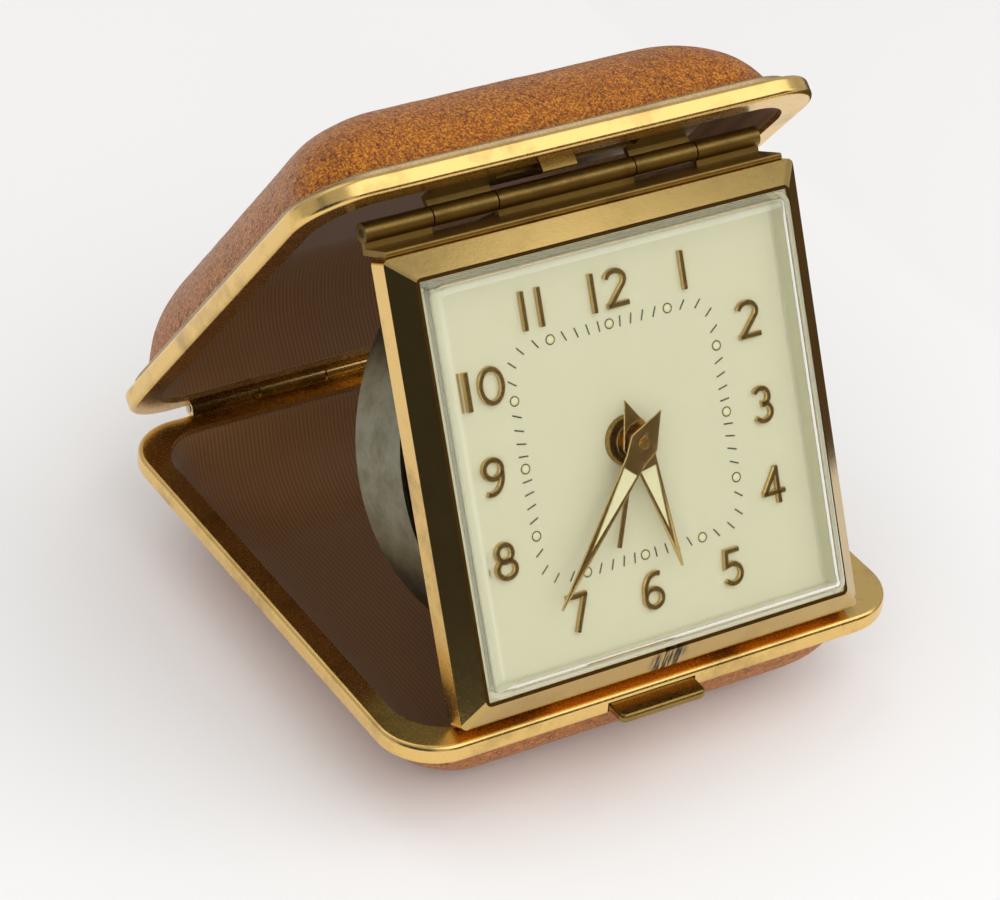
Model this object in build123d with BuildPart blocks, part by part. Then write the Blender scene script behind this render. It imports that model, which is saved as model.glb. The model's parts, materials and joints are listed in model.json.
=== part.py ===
"""Folding travel alarm clock: two leather-covered shells on a rear hinge, and a square
clock head that hangs from the lid and stands on the front rim of the base.

Millimetres. The origin is the middle of the base's underside, +Z is up and -Y is the front.
"""
from build123d import *
import math
import os

# Case
case_width = 76.0
case_depth = 79.5
shell_height = 15.0
rim_height = 2.7
rim_corner = 8.0
rim_edge_round = 0.7
lip_width = 3.4
lip_thickness = 0.8
leather_inset = 1.8
leather_corner = 9.0
crown_corner = 4.0
leather_thickness = 0.8
pan_thickness = 0.5
lining_thickness = 0.5
shell_taper = 19.0
shoulder_radius = 14.0
shoulder_steps = 6

# Rear hinge of the case
case_hinge_out = 1.2
case_knuckle_radius = 1.1
case_pin_radius = 0.5
case_hinge_length = 53.0
case_knuckles = 5
case_leaf_thickness = 0.5
case_leaf_start = 1.0
case_leaf_height = 1.5
pin_clearance = 0.05
knuckle_gap = 0.2

# Front catch
catch_width = 13.0
catch_thickness = 1.3
catch_reach = 3.2
catch_flange = 0.6
catch_flange_side = 1.0
catch_flange_gap = 0.3
catch_place = -2.2
catch_corner = 1.0
catch_clearance = 0.1
catch_nose_round = 0.5
striker_width = 5.0
striker_thickness = 0.6
striker_drop = 1.2
bracket_gap = 1.0

# Clock head
clock_width = 60.0
clock_height = 59.6
bezel_face = 3.2
bezel_rise = 2.4
bezel_corner = 0.8
bezel_lip = 0.5
frame_depth = 3.2
frame_wall = 0.8
frame_plate = 1.0
works_inset = 2.0
works_ring = 4.0
works_ring_depth = 1.8
dial_drop = 1.0
dial_thickness = 0.4
dial_margin = 1.0
dial_hole = 2.4
crystal_clearance = 0.1
crystal_wall = 1.1
crystal_rise = 4.6
crystal_round = 1.6

# Clock head hinge
clock_hinge_rise = 2.76
clock_hinge_back = 6.4
clock_hinge_drop = 2.0
clock_hinge_setback = 8.0
clock_hinge_half = 29.0
clock_lid_knuckle = (10.0, 19.5)
clock_knuckle_radius = 1.3
clock_pin_radius = 0.55
clock_leaf_thickness = 0.8
clock_leaf_round = 0.3
foot_inset = 0.7
foot_lift = 1.5

# Hands
shown_hour = 5.0
shown_minute = 36.8
alarm_hour = 6.65
hand_thickness = 0.25
hand_tip = 0.3
hand_waist = 2.6
hand_rib = 0.45
alarm_hand_height = 1.5
hour_hand_height = 2.7
minute_hand_height = 3.9
minute_hand_length = 23.4
minute_hand_tail = 4.8
minute_hand_width = 4.3
minute_hand_shoulder = 3.0
minute_window = (4.0, 14.6)
hour_hand_length = 17.3
hour_hand_tail = 5.9
hour_hand_width = 4.9
hour_hand_shoulder = 3.2
hour_window = (3.6, 12.1)
alarm_hand_length = 13.5
alarm_hand_width = 0.6
alarm_hub_rim = 0.6
centre_arbor_radius = 0.7
centre_arbor_tip = 0.15
hour_pipe_bore = 1.05
hour_pipe_radius = 1.4
alarm_pipe_bore = 1.5
alarm_pipe_radius = 1.9
boss_radius = 3.3
boss_height = 0.6
boss_bevel = 0.3

# Movement
drum_inset = 0.3
drum_wall = 0.5
drum_edge_round = 0.4
drum_front = 5.9
drum_back = 18.0
ring_step = 2.5
ring_wall = 0.8
ring_seat_depth = 2.0
ring_clearance = 0.1
plate_gap = 0.2
plate_thickness = 0.8
pillar_height = 10.4
pillar_radius = 1.4
pillar_edge = 3.0
pillar_angles = (20.0, 192.0, 315.0)
wheel_thickness = 0.5
wheel_gap = 0.3
post_shoulder = 0.2
leaf_overhang = 0.3
arbor_radius = 0.5
pivot_radius = 0.3
pivot_clearance = 0.05
end_shake = 0.1
tooth_addendum = 0.75
tooth_dedendum = 1.15
tooth_root_share = 0.26
tooth_tip_share = 0.09
centre_wheel_drop = 1.4
escape_wheel_drop = 3.2
great_wheel_drop = 3.6
balance_drop = 5.4
third_wheel_drop = 5.6
fourth_wheel_drop = 8.0
barrel_shake = 0.4
barrel_wall_gap = 0.8
barrel_arbor_radius = 1.0
alarm_barrel_radius = 7.5
alarm_barrel_height = 3.4
escape_distance = 6.0
fork_distance = 4.4
fork_length = 3.4
fork_width = 0.8
balance_radius = 5.0
balance_rim = 0.9
balance_gap = 0.6
hammer_arm = 6.0
hammer_arm_width = 1.0
hammer_head_radius = 1.6
hammer_thickness = 1.6
hammer_lift = 2.0

# Back controls
key_width = 10.0
key_height = 1.9
key_thickness = 1.4
key_hub_radius = 1.8
knob_radius = 2.8
knob_height = 1.9
knob_notch = 0.28
knob_notches = 16
control_gap = 0.25

os.makedirs("parts", exist_ok=True)


def save(piece, name):
    """Label a finished piece and write its STEP file."""
    piece.part.label = name
    export_step(piece.part, f"parts/{name}.step")


# The triangle that the open case makes, worked out in the side view about the case hinge
def standing_angles():
    """Opening of the lid and backward lean of the clock head when it stands on the front rim."""
    foot_y = -(case_depth + case_hinge_out - foot_inset)
    lid_arm = case_hinge_out + case_depth - clock_hinge_setback
    lid_reach = math.hypot(lid_arm, clock_hinge_drop)
    foot_reach = math.hypot(foot_y, foot_lift)
    head_reach = math.hypot(clock_height + clock_hinge_rise, clock_hinge_back)
    spread = math.acos(
        (lid_reach**2 + foot_reach**2 - head_reach**2) / (2 * lid_reach * foot_reach)
    )
    axis_angle = math.atan2(foot_lift, foot_y) - spread
    axis_y = lid_reach * math.cos(axis_angle)
    axis_z = lid_reach * math.sin(axis_angle)
    lid_direction = axis_angle - math.atan2(clock_hinge_drop, lid_arm)
    head_direction = math.atan2(axis_z - foot_lift, axis_y - foot_y)
    head_offset = math.atan2(-clock_hinge_back, clock_height + clock_hinge_rise)
    return math.pi - lid_direction, math.pi / 2 + head_offset - head_direction


lid_angle, clock_lean = standing_angles()

# Working planes: the two mating faces point into their shells, the clock plane out of the dial
hinge_y = case_depth / 2 + case_hinge_out
hinge_z = shell_height
lid_up = Vector(0, math.sin(lid_angle), math.cos(lid_angle))
lid_front = Vector(0, -math.cos(lid_angle), math.sin(lid_angle))
head_up = Vector(0, math.sin(clock_lean), math.cos(clock_lean))
head_out = Vector(0, -math.cos(clock_lean), math.sin(clock_lean))
case_axis = Vector(0, hinge_y, hinge_z)
lid_middle = case_axis + lid_front * (case_hinge_out + case_depth / 2)
foot = Vector(0, foot_inset - case_depth / 2, hinge_z + foot_lift)
head_middle = foot + head_up * (clock_height / 2)
clock_axis = foot + head_up * (clock_height + clock_hinge_rise) - head_out * clock_hinge_back

base_mating = Plane(origin=(0, 0, hinge_z), x_dir=(1, 0, 0), z_dir=(0, 0, -1))
lid_mating = Plane(origin=lid_middle, x_dir=(1, 0, 0), z_dir=lid_up)
clock_plane = Plane(origin=head_middle, x_dir=(1, 0, 0), z_dir=head_out)


def side_plane(x, origin, first):
    """Plane across X at x, with the given direction as its first axis."""
    return Plane(origin=Vector(x, origin.Y, origin.Z), x_dir=first, z_dir=(1, 0, 0))


def base_side(x):
    """Side view of the base from the case hinge: first axis to the rear, second axis up."""
    return side_plane(x, case_axis, Vector(0, 1, 0))


def lid_side(x):
    """Side view of the lid from the case hinge: first axis outwards, second axis to its front."""
    return side_plane(x, case_axis, lid_up)


def head_side(x):
    """Side view of the clock head from its foot: first axis up, second axis out of the dial."""
    return side_plane(x, foot, head_up)


def along_x(point, x):
    """Plane for a round section about an axis that runs along X."""
    return Plane(origin=Vector(x, point.Y, point.Z), x_dir=(0, 1, 0), z_dir=(1, 0, 0))


# Shells
def pillow(mating, inset):
    """Closed block with drafted walls and a round shoulder, drawn in from the rim by inset."""
    drawn_in = inset - leather_inset
    draft = math.radians(shell_taper)
    radius = shoulder_radius - drawn_in
    level = shell_height - lip_thickness - drawn_in - radius
    wall = level + radius * math.sin(draft)
    reach = wall * math.tan(draft) + radius * math.cos(draft)
    stations = [(0.0, 0.0)]
    for step in range(shoulder_steps + 1):
        turn = draft + (math.pi / 2 - draft) * step / shoulder_steps
        stations.append((reach - radius * math.cos(turn), level + radius * math.sin(turn)))
    with BuildPart() as block:
        for across, height in stations:
            share = across / reach
            corner = (leather_corner - drawn_in) * (1 - share) + crown_corner * share
            with BuildSketch(mating.offset(lip_thickness + height)):
                RectangleRounded(
                    case_width - 2 * (inset + across), case_depth - 2 * (inset + across), corner
                )
        loft()
    return block.part


def catch_slot(clearance):
    """Passage for the catch through the front wall of the base."""
    front = -case_depth / 2
    with BuildPart() as passage:
        with BuildSketch(Plane.XY.offset(hinge_z - lip_thickness)):
            with Locations((catch_place, front)):
                Rectangle(catch_width + 2 * clearance, 4 * catch_reach)
        extrude(amount=-(catch_thickness + 2 * clearance))
    return passage.part


def shell_layer(name, mating, inset, thickness, slotted):
    """One of the nested layers of a shell, from its outer skin inwards."""
    with BuildPart() as layer:
        add(pillow(mating, inset))
        add(pillow(mating, inset + thickness), mode=Mode.SUBTRACT)
        if slotted:
            add(catch_slot(catch_clearance), mode=Mode.SUBTRACT)
    save(layer, name)


def rim(name, mating, slotted):
    """Brass rim: an upright band with a lip turned in over the edges of the layers."""
    lip_corner = leather_corner - (lip_width - leather_inset)
    with BuildPart() as ring:
        with BuildSketch(mating):
            RectangleRounded(case_width, case_depth, rim_corner)
        extrude(amount=rim_height)
        fillet(ring.edges().filter_by(lambda edge: abs(edge.tangent_at(0).dot(mating.z_dir)) < 0.1),
               radius=rim_edge_round)
        with BuildSketch(mating):
            RectangleRounded(case_width - 2 * lip_width, case_depth - 2 * lip_width, lip_corner)
        extrude(amount=rim_height, mode=Mode.SUBTRACT)
        with BuildSketch(mating.offset(lip_thickness)):
            RectangleRounded(
                case_width - 2 * leather_inset, case_depth - 2 * leather_inset, leather_corner
            )
        extrude(amount=rim_height, mode=Mode.SUBTRACT)
        if slotted:
            add(catch_slot(catch_clearance), mode=Mode.SUBTRACT)
    save(ring, name)


pan_inset = leather_inset + leather_thickness
lining_inset = pan_inset + pan_thickness
for side, mating in (("base", base_mating), ("lid", lid_mating)):
    slotted = side == "base"
    shell_layer(f"{side}_leather", mating, leather_inset, leather_thickness, slotted)
    shell_layer(f"{side}_pan", mating, pan_inset, pan_thickness, slotted)
    shell_layer(f"{side}_lining", mating, lining_inset, lining_thickness, slotted)
    rim(f"{side}_rim", mating, slotted)


# Rear hinge of the case
def knuckle_spans(index_parity):
    """Start and length along X of every other knuckle of the case hinge."""
    pitch = case_hinge_length / case_knuckles
    for index in range(index_parity, case_knuckles, 2):
        yield -case_hinge_length / 2 + index * pitch + knuckle_gap / 2, pitch - knuckle_gap


def case_leaf(name, side, index_parity, sign):
    """Hinge leaf on the outside of a rim, with its rolled knuckles."""
    inner = case_hinge_out
    outer = case_hinge_out - case_leaf_thickness
    bore = case_pin_radius + pin_clearance
    with BuildPart() as leaf:
        with BuildSketch(side(-case_hinge_length / 2 + knuckle_gap / 2)):
            with BuildLine():
                if sign < 0:
                    Polyline((-inner, -case_leaf_start), (-outer, -case_leaf_start),
                             (-outer, -case_leaf_start - case_leaf_height),
                             (-inner, -case_leaf_start - case_leaf_height), close=True)
                else:
                    Polyline((case_leaf_start, inner), (case_leaf_start, outer),
                             (case_leaf_start + case_leaf_height, outer),
                             (case_leaf_start + case_leaf_height, inner), close=True)
            make_face()
        extrude(amount=case_hinge_length - knuckle_gap)
        for start, length in knuckle_spans(index_parity):
            with BuildSketch(side(start)):
                with BuildLine():
                    if sign < 0:
                        Polyline((-inner, -case_leaf_start - case_leaf_thickness), (-inner, 0),
                                 (0, 0), (-outer, -case_leaf_start - case_leaf_thickness),
                                 close=True)
                    else:
                        Polyline((case_leaf_start + case_leaf_thickness, inner), (0, inner),
                                 (0, 0), (case_leaf_start + case_leaf_thickness, outer),
                                 close=True)
                make_face()
            extrude(amount=length)
            with BuildSketch(along_x(case_axis, start)):
                Circle(case_knuckle_radius)
            extrude(amount=length)
            with BuildSketch(along_x(case_axis, start)):
                Circle(bore)
            extrude(amount=length, mode=Mode.SUBTRACT)
    save(leaf, name)


case_leaf("case_hinge_base_leaf", base_side, 0, -1)
case_leaf("case_hinge_lid_leaf", lid_side, 1, 1)

with BuildPart() as case_hinge_pin:
    with BuildSketch(along_x(case_axis, -case_hinge_length / 2)):
        Circle(case_pin_radius)
    extrude(amount=case_hinge_length)
save(case_hinge_pin, "case_hinge_pin")


# Front catch
catch_top = hinge_z - lip_thickness - catch_clearance
catch_draft = (catch_clearance + catch_thickness) * math.tan(math.radians(shell_taper))
flange_y = lining_inset + lining_thickness + catch_draft + catch_flange_gap
with BuildPart() as catch_button:
    with BuildSketch(Plane.XY.offset(catch_top)):
        with Locations((catch_place, -case_depth / 2 - catch_reach)):
            Rectangle(catch_width, catch_reach + flange_y, align=(Align.CENTER, Align.MIN))
    extrude(amount=-catch_thickness)
    front_corners = catch_button.edges().filter_by(Axis.Z).group_by(Axis.Y)[0]
    fillet(front_corners, radius=catch_corner)
    nose = catch_button.edges().filter_by(Axis.X).group_by(Axis.Y)[0]
    fillet(nose, radius=catch_nose_round)
    with BuildSketch(Plane.XY.offset(catch_top)):
        with Locations((catch_place, -case_depth / 2 + flange_y)):
            Rectangle(catch_width + 2 * catch_flange_side, catch_flange,
                      align=(Align.CENTER, Align.MIN))
    extrude(amount=-catch_thickness)
save(catch_button, "catch_button")

with BuildPart() as catch_striker:
    with BuildSketch(lid_side(catch_place - striker_width / 2)):
        with Locations((-striker_drop, case_hinge_out + case_depth - lip_width - striker_thickness)):
            Rectangle(striker_drop + lip_thickness, striker_thickness, align=(Align.MIN, Align.MIN))
    extrude(amount=striker_width)
save(catch_striker, "catch_striker")


# Hinge between the lid and the clock head
def knuckle_row(spans, radius):
    """Round sections about the clock head's hinge axis, one for each span along X."""
    with BuildPart() as row:
        for start, end in spans:
            with BuildSketch(along_x(clock_axis, start)):
                Circle(radius)
            extrude(amount=end - start)
    return row.part


near, far = clock_lid_knuckle
lid_spans = ((-far + knuckle_gap, -near - knuckle_gap), (near + knuckle_gap, far - knuckle_gap))
head_spans = ((-clock_hinge_half, -far), (-near, near), (far, clock_hinge_half))
lid_arm = case_hinge_out + case_depth - clock_hinge_setback
lip_edge = case_hinge_out + case_depth - lip_width
bracket_bar = clock_hinge_setback - lip_width - striker_thickness - bracket_gap

with BuildPart() as lid_bracket:
    with BuildSketch(lid_side(lid_spans[0][0])):
        with Locations((0, lid_arm - clock_leaf_thickness / 2)):
            Rectangle(lip_thickness, bracket_bar, align=(Align.MIN, Align.MIN))
    extrude(amount=2 * (far - knuckle_gap))
    for start, end in lid_spans:
        with BuildSketch(lid_side(start)):
            with BuildLine():
                Polyline((0, lip_edge), (lip_thickness, lip_edge),
                         (lip_thickness, lid_arm - clock_leaf_thickness / 2),
                         (-clock_hinge_drop, lid_arm - clock_leaf_thickness / 2),
                         (-clock_hinge_drop, lid_arm + clock_leaf_thickness / 2),
                         (0, lid_arm + clock_leaf_thickness / 2), close=True)
            make_face()
        extrude(amount=end - start)
    add(knuckle_row(lid_spans, clock_knuckle_radius))
    add(knuckle_row(lid_spans, clock_pin_radius + pin_clearance), mode=Mode.SUBTRACT)
save(lid_bracket, "lid_bracket")

leaf_front = -frame_wall
leaf_back = -clock_hinge_back - clock_leaf_thickness / 2
with BuildPart() as clock_hinge_leaf:
    with BuildSketch(head_side(-clock_hinge_half)):
        with Locations((clock_height, leaf_back)):
            Rectangle(clock_leaf_thickness, leaf_front - leaf_back, align=(Align.MIN, Align.MIN))
    extrude(amount=2 * clock_hinge_half)
    front_edge = clock_hinge_leaf.faces().sort_by(Axis(foot, head_out))[-1].edges().filter_by(Axis.X)
    fillet(front_edge, radius=clock_leaf_round)
    for start, end in head_spans:
        with BuildSketch(head_side(start)):
            with Locations((clock_height, leaf_back)):
                Rectangle(clock_hinge_rise, clock_leaf_thickness, align=(Align.MIN, Align.MIN))
        extrude(amount=end - start)
    add(knuckle_row(head_spans, clock_knuckle_radius))
    add(knuckle_row(head_spans, clock_pin_radius + pin_clearance), mode=Mode.SUBTRACT)
save(clock_hinge_leaf, "clock_hinge_leaf")

with BuildPart() as clock_hinge_pin:
    with BuildSketch(along_x(clock_axis, -clock_hinge_half)):
        Circle(clock_pin_radius)
    extrude(amount=2 * clock_hinge_half)
save(clock_hinge_pin, "clock_hinge_pin")


# Clock head
opening_width = clock_width - 2 * bezel_face
opening_height = clock_height - 2 * bezel_face
dial_top = -dial_drop
dial_back = dial_top - dial_thickness
drum_radius = min(clock_width, clock_height) / 2 - drum_inset
ring_neck_radius = drum_radius - ring_step
plate_radius = ring_neck_radius - ring_wall - plate_gap
works_radius = plate_radius - works_inset
works_bore = works_radius - works_ring

with BuildPart() as bezel:
    with BuildSketch(clock_plane):
        RectangleRounded(clock_width, clock_height, bezel_corner)
    with BuildSketch(clock_plane.offset(bezel_rise)):
        RectangleRounded(
            opening_width + 2 * bezel_lip, opening_height + 2 * bezel_lip, bezel_corner
        )
    loft(ruled=True)
    with BuildSketch(clock_plane):
        Rectangle(opening_width, opening_height)
    extrude(amount=bezel_rise, mode=Mode.SUBTRACT)
save(bezel, "bezel")

with BuildPart() as clock_frame:
    with BuildSketch(clock_plane.offset(-frame_depth)):
        RectangleRounded(clock_width, clock_height, bezel_corner)
        Rectangle(clock_width - 2 * frame_wall, clock_height - 2 * frame_wall, mode=Mode.SUBTRACT)
    extrude(amount=frame_depth)
    with BuildSketch(clock_plane.offset(dial_back - frame_plate)):
        Rectangle(clock_width - frame_wall, clock_height - frame_wall)
        Circle(works_bore, mode=Mode.SUBTRACT)
    extrude(amount=frame_plate)
    with BuildSketch(clock_plane.offset(dial_back - frame_plate)):
        Circle(works_radius)
        Circle(works_bore, mode=Mode.SUBTRACT)
    extrude(amount=-works_ring_depth)
save(clock_frame, "clock_frame")

dial_width = clock_width - 2 * frame_wall - 2 * dial_margin
dial_height = clock_height - 2 * frame_wall - 2 * dial_margin
with BuildPart() as dial:
    with BuildSketch(clock_plane.offset(dial_back)):
        Rectangle(dial_width, dial_height)
        Circle(dial_hole, mode=Mode.SUBTRACT)
    extrude(amount=dial_thickness)
save(dial, "dial")

with BuildPart() as dial_boss:
    with BuildSketch(clock_plane.offset(dial_top)):
        Circle(boss_radius)
        Circle(dial_hole, mode=Mode.SUBTRACT)
    extrude(amount=boss_height)
    rim_edge = dial_boss.faces().sort_by(Axis(head_middle, head_out))[-1].edges()
    chamfer(rim_edge.sort_by(SortBy.LENGTH)[-1:], length=boss_bevel)
save(dial_boss, "dial_boss")

glass_width = opening_width - 2 * crystal_clearance
glass_height = opening_height - 2 * crystal_clearance
with BuildPart() as crystal:
    with BuildSketch(clock_plane.offset(dial_top)):
        Rectangle(glass_width, glass_height)
    extrude(amount=crystal_rise - dial_top)
    crown = crystal.faces().sort_by(Axis(head_middle, head_out))[-1]
    fillet(crown.edges(), radius=crystal_round)
    with BuildSketch(clock_plane.offset(dial_top)):
        Rectangle(glass_width - 2 * crystal_wall, glass_height - 2 * crystal_wall)
    extrude(amount=crystal_rise - dial_top - crystal_wall, mode=Mode.SUBTRACT)
save(crystal, "crystal")


# Hands: each is drawn pointing at twelve on a plane turned to the time shown
def dial_plane(height, degrees):
    """Plane above the dial's face, turned clockwise from twelve by degrees."""
    turn = math.radians(degrees)
    sideways = Vector(1, 0, 0) * math.cos(turn) - head_up * math.sin(turn)
    return Plane(origin=head_middle + head_out * (dial_top + height), x_dir=sideways, z_dir=head_out)


def hand(name, height, degrees, length, tail, width, shoulder, window, bore):
    """Kite-shaped hand that tapers from its waist to the tip, with a window for luminous paste."""
    opening = shoulder / 2 - hand_rib
    with BuildPart() as piece:
        with BuildSketch(dial_plane(height, degrees)):
            with BuildLine():
                Polyline((hand_tip / 2, length), (shoulder / 2, hand_waist), (width / 2, 0), (0, -tail),
                         (-width / 2, 0), (-shoulder / 2, hand_waist), (-hand_tip / 2, length), close=True)
            make_face()
            with BuildLine():
                Polyline((opening, window[0]), (0, window[1]), (-opening, window[0]), close=True)
            make_face(mode=Mode.SUBTRACT)
            Circle(bore, mode=Mode.SUBTRACT)
        extrude(amount=hand_thickness)
    save(piece, name)


minute_degrees = shown_minute * 6
hour_degrees = (shown_hour + shown_minute / 60) * 30
alarm_degrees = alarm_hour * 30
hand("hour_hand", hour_hand_height, hour_degrees, hour_hand_length, hour_hand_tail,
     hour_hand_width, hour_hand_shoulder, hour_window, hour_pipe_radius)
hand("minute_hand", minute_hand_height, minute_degrees, minute_hand_length, minute_hand_tail,
     minute_hand_width, minute_hand_shoulder, minute_window, centre_arbor_radius)

with BuildPart() as alarm_hand:
    with BuildSketch(dial_plane(alarm_hand_height, alarm_degrees)):
        Rectangle(alarm_hand_width, alarm_hand_length, align=(Align.CENTER, Align.MIN))
        Circle(alarm_pipe_radius + alarm_hub_rim)
        Circle(alarm_pipe_radius, mode=Mode.SUBTRACT)
    extrude(amount=hand_thickness)
save(alarm_hand, "alarm_hand")


# Wheels: places are across the clock plane from the centre arbor, heights along its normal
def wheel_outline(teeth, module, phase):
    """Closed outline of a wheel with slim straight-sided teeth."""
    pitch = 2 * math.pi / teeth
    root = module * (teeth / 2 - tooth_dedendum)
    tip = module * (teeth / 2 + tooth_addendum)
    corners = ((root, -tooth_root_share), (tip, -tooth_tip_share),
               (tip, tooth_tip_share), (root, tooth_root_share))
    points = []
    for index in range(teeth):
        for radius, share in corners:
            angle = phase + (index + share) * pitch
            points.append((radius * math.cos(angle), radius * math.sin(angle)))
    return points


def mesh_phase(driver, driver_phase, driven, direction):
    """Phase that sets the driven wheel's gaps over the driver's teeth along a direction."""
    offset = (driver_phase - direction) * driver + math.pi
    return direction + math.pi - offset / driven


def toothed(place, height, thickness, teeth, module, phase):
    """Toothed disc at a place and height."""
    with BuildPart() as wheel:
        with BuildSketch(clock_plane.offset(height)):
            with BuildLine(Location(place)):
                Polyline(*wheel_outline(teeth, module, phase), close=True)
            make_face()
        extrude(amount=thickness)
    return wheel.part


def disc(place, bottom, top, radius, bore=0.0):
    """Round section between two heights, bored through if a bore is given."""
    with BuildPart() as section:
        with BuildSketch(clock_plane.offset(bottom)):
            with Locations(place):
                Circle(radius)
                if bore > 0:
                    Circle(bore, mode=Mode.SUBTRACT)
        extrude(amount=top - bottom)
    return section.part


def polar(origin, distance, degrees):
    """Place at a distance and direction from another place."""
    angle = math.radians(degrees)
    return (origin[0] + distance * math.cos(angle), origin[1] + distance * math.sin(angle))


pillar_circle = plate_radius - pillar_edge
front_face = dial_back - frame_plate - works_ring_depth
front_back = front_face - plate_thickness
back_front = front_back - pillar_height
back_back = back_front - plate_thickness
centre = (0.0, 0.0)

# Motion work between the dial and the front plate
cannon_teeth, minute_teeth, cannon_module = 12, 36, 0.25
works_distance = cannon_module * (cannon_teeth + minute_teeth) / 2
pinion_teeth, hour_teeth = 10, 40
hour_module = 2 * works_distance / (pinion_teeth + hour_teeth)
works_direction = 60.0
minute_place = polar(centre, works_distance, works_direction)
minute_level = front_face + post_shoulder
hour_level = minute_level + wheel_thickness + wheel_gap
alarm_level = hour_level + wheel_thickness + wheel_gap
works_angle = math.radians(works_direction)
minute_phase = mesh_phase(cannon_teeth, 0.0, minute_teeth, works_angle)
hour_phase = mesh_phase(pinion_teeth, 0.0, hour_teeth, works_angle + math.pi)

# Going train between the plates
great_teeth, leaf_teeth, great_module = 60, 10, 0.32
great_distance = great_module * (great_teeth + leaf_teeth) / 2
great_direction = 250.0
great_place = polar(centre, great_distance, great_direction)
great_level = front_back - great_wheel_drop
centre_teeth, third_leaves, centre_module = 64, 8, 0.25
third_distance = centre_module * (centre_teeth + third_leaves) / 2
third_direction = 20.0
third_place = polar(centre, third_distance, third_direction)
centre_level = front_back - centre_wheel_drop
third_teeth, third_module = 60, 0.2
third_level = front_back - third_wheel_drop
fourth_teeth, fourth_module = 50, 0.2
fourth_place = polar(third_place, third_module * (third_teeth + third_leaves) / 2, 80.0)
fourth_level = front_back - fourth_wheel_drop
escape_teeth, escape_module = 15, 0.4
escape_place = polar(fourth_place, escape_distance, 150.0)
escape_level = front_back - escape_wheel_drop
fork_direction = 170.0
fork_place = polar(escape_place, fork_distance, fork_direction)
balance_place = polar(fork_place, balance_radius + arbor_radius + balance_gap, fork_direction)
balance_level = front_back - balance_drop
alarm_barrel_place = (-13.5, 7.0)
hammer_place = (14.0, -8.0)
alarm_teeth, setter_teeth, alarm_module = 48, 12, 0.3
setter_direction = 180.0
setter_place = polar(centre, alarm_module * (alarm_teeth + setter_teeth) / 2, setter_direction)

arbor_places = (centre, great_place, third_place, fourth_place, escape_place, balance_place,
                fork_place, alarm_barrel_place, hammer_place, setter_place)
pivots = {place: pivot_radius for place in arbor_places}
pivots[centre] = centre_arbor_radius
pivots[great_place] = barrel_arbor_radius
pivots[alarm_barrel_place] = barrel_arbor_radius
pivots[setter_place] = arbor_radius
barrel_bottom = back_front + barrel_shake
through_back = (centre, great_place, alarm_barrel_place, setter_place)


def plate(name, bottom, top):
    """Round movement plate with a hole for each arbor that runs in it."""
    with BuildPart() as disc_plate:
        add(disc(centre, bottom, top, plate_radius))
        for place in arbor_places:
            add(disc(place, bottom, top, pivots[place] + pivot_clearance), mode=Mode.SUBTRACT)
    save(disc_plate, name)


plate("front_plate", front_back, front_face)
plate("back_plate", back_back, back_front)

with BuildPart() as plate_pillars:
    with BuildSketch(clock_plane.offset(back_front)):
        for degrees in pillar_angles:
            with Locations(polar(centre, pillar_circle, degrees)):
                Circle(pillar_radius)
    extrude(amount=pillar_height)
save(plate_pillars, "plate_pillars")


def arbor(place, radius, pivot):
    """Arbor between the plates with a pivot in each of them."""
    with BuildPart() as shaft:
        add(disc(place, back_front + end_shake, front_back - end_shake, radius))
        add(disc(place, back_back, front_face, pivot))
    return shaft.part


knob_top = -drum_back - control_gap
knob_bottom = knob_top - knob_height
minute_top = dial_top + minute_hand_height
arbor_top = minute_top + hand_thickness + centre_arbor_tip
leaf_length = wheel_thickness + 2 * leaf_overhang
with BuildPart() as centre_arbor:
    add(disc(centre, knob_bottom, arbor_top, centre_arbor_radius))
    add(toothed(centre, great_level - leaf_overhang, leaf_length, leaf_teeth, great_module, 0.0))
    add(toothed(centre, centre_level, wheel_thickness, centre_teeth, centre_module, 0.0))
save(centre_arbor, "centre_arbor")

with BuildPart() as cannon_pinion:
    add(toothed(centre, minute_level, wheel_thickness, cannon_teeth, cannon_module, 0.0))
    add(disc(centre, minute_level, minute_top - pivot_clearance, hour_pipe_bore - pivot_clearance))
    add(disc(centre, minute_level, minute_top, centre_arbor_radius), mode=Mode.SUBTRACT)
save(cannon_pinion, "cannon_pinion")

with BuildPart() as minute_wheel:
    add(toothed(minute_place, minute_level, wheel_thickness, minute_teeth, cannon_module, minute_phase))
    pinion_length = hour_level - minute_level + wheel_thickness
    add(toothed(minute_place, minute_level, pinion_length, pinion_teeth, hour_module, 0.0))
    add(disc(minute_place, minute_level, dial_back, pivot_radius + pivot_clearance), mode=Mode.SUBTRACT)
save(minute_wheel, "minute_wheel")

with BuildPart() as minute_wheel_post:
    add(disc(minute_place, front_face, hour_level + wheel_thickness + end_shake, pivot_radius))
    add(disc(minute_place, front_face, minute_level - pivot_clearance, 2 * pivot_radius))
save(minute_wheel_post, "minute_wheel_post")

with BuildPart() as hour_wheel:
    add(toothed(centre, hour_level, wheel_thickness, hour_teeth, hour_module, hour_phase))
    add(disc(centre, hour_level, dial_top + hour_hand_height + hand_thickness, hour_pipe_radius))
    add(disc(centre, hour_level, minute_top, hour_pipe_bore), mode=Mode.SUBTRACT)
save(hour_wheel, "hour_wheel")

setter_phase = mesh_phase(alarm_teeth, 0.0, setter_teeth, math.radians(setter_direction))
with BuildPart() as alarm_wheel:
    add(toothed(centre, alarm_level, wheel_thickness, alarm_teeth, alarm_module, 0.0))
    add(disc(centre, alarm_level, dial_top + alarm_hand_height + hand_thickness, alarm_pipe_radius))
    add(disc(centre, alarm_level, minute_top, alarm_pipe_bore), mode=Mode.SUBTRACT)
save(alarm_wheel, "alarm_wheel")

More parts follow.
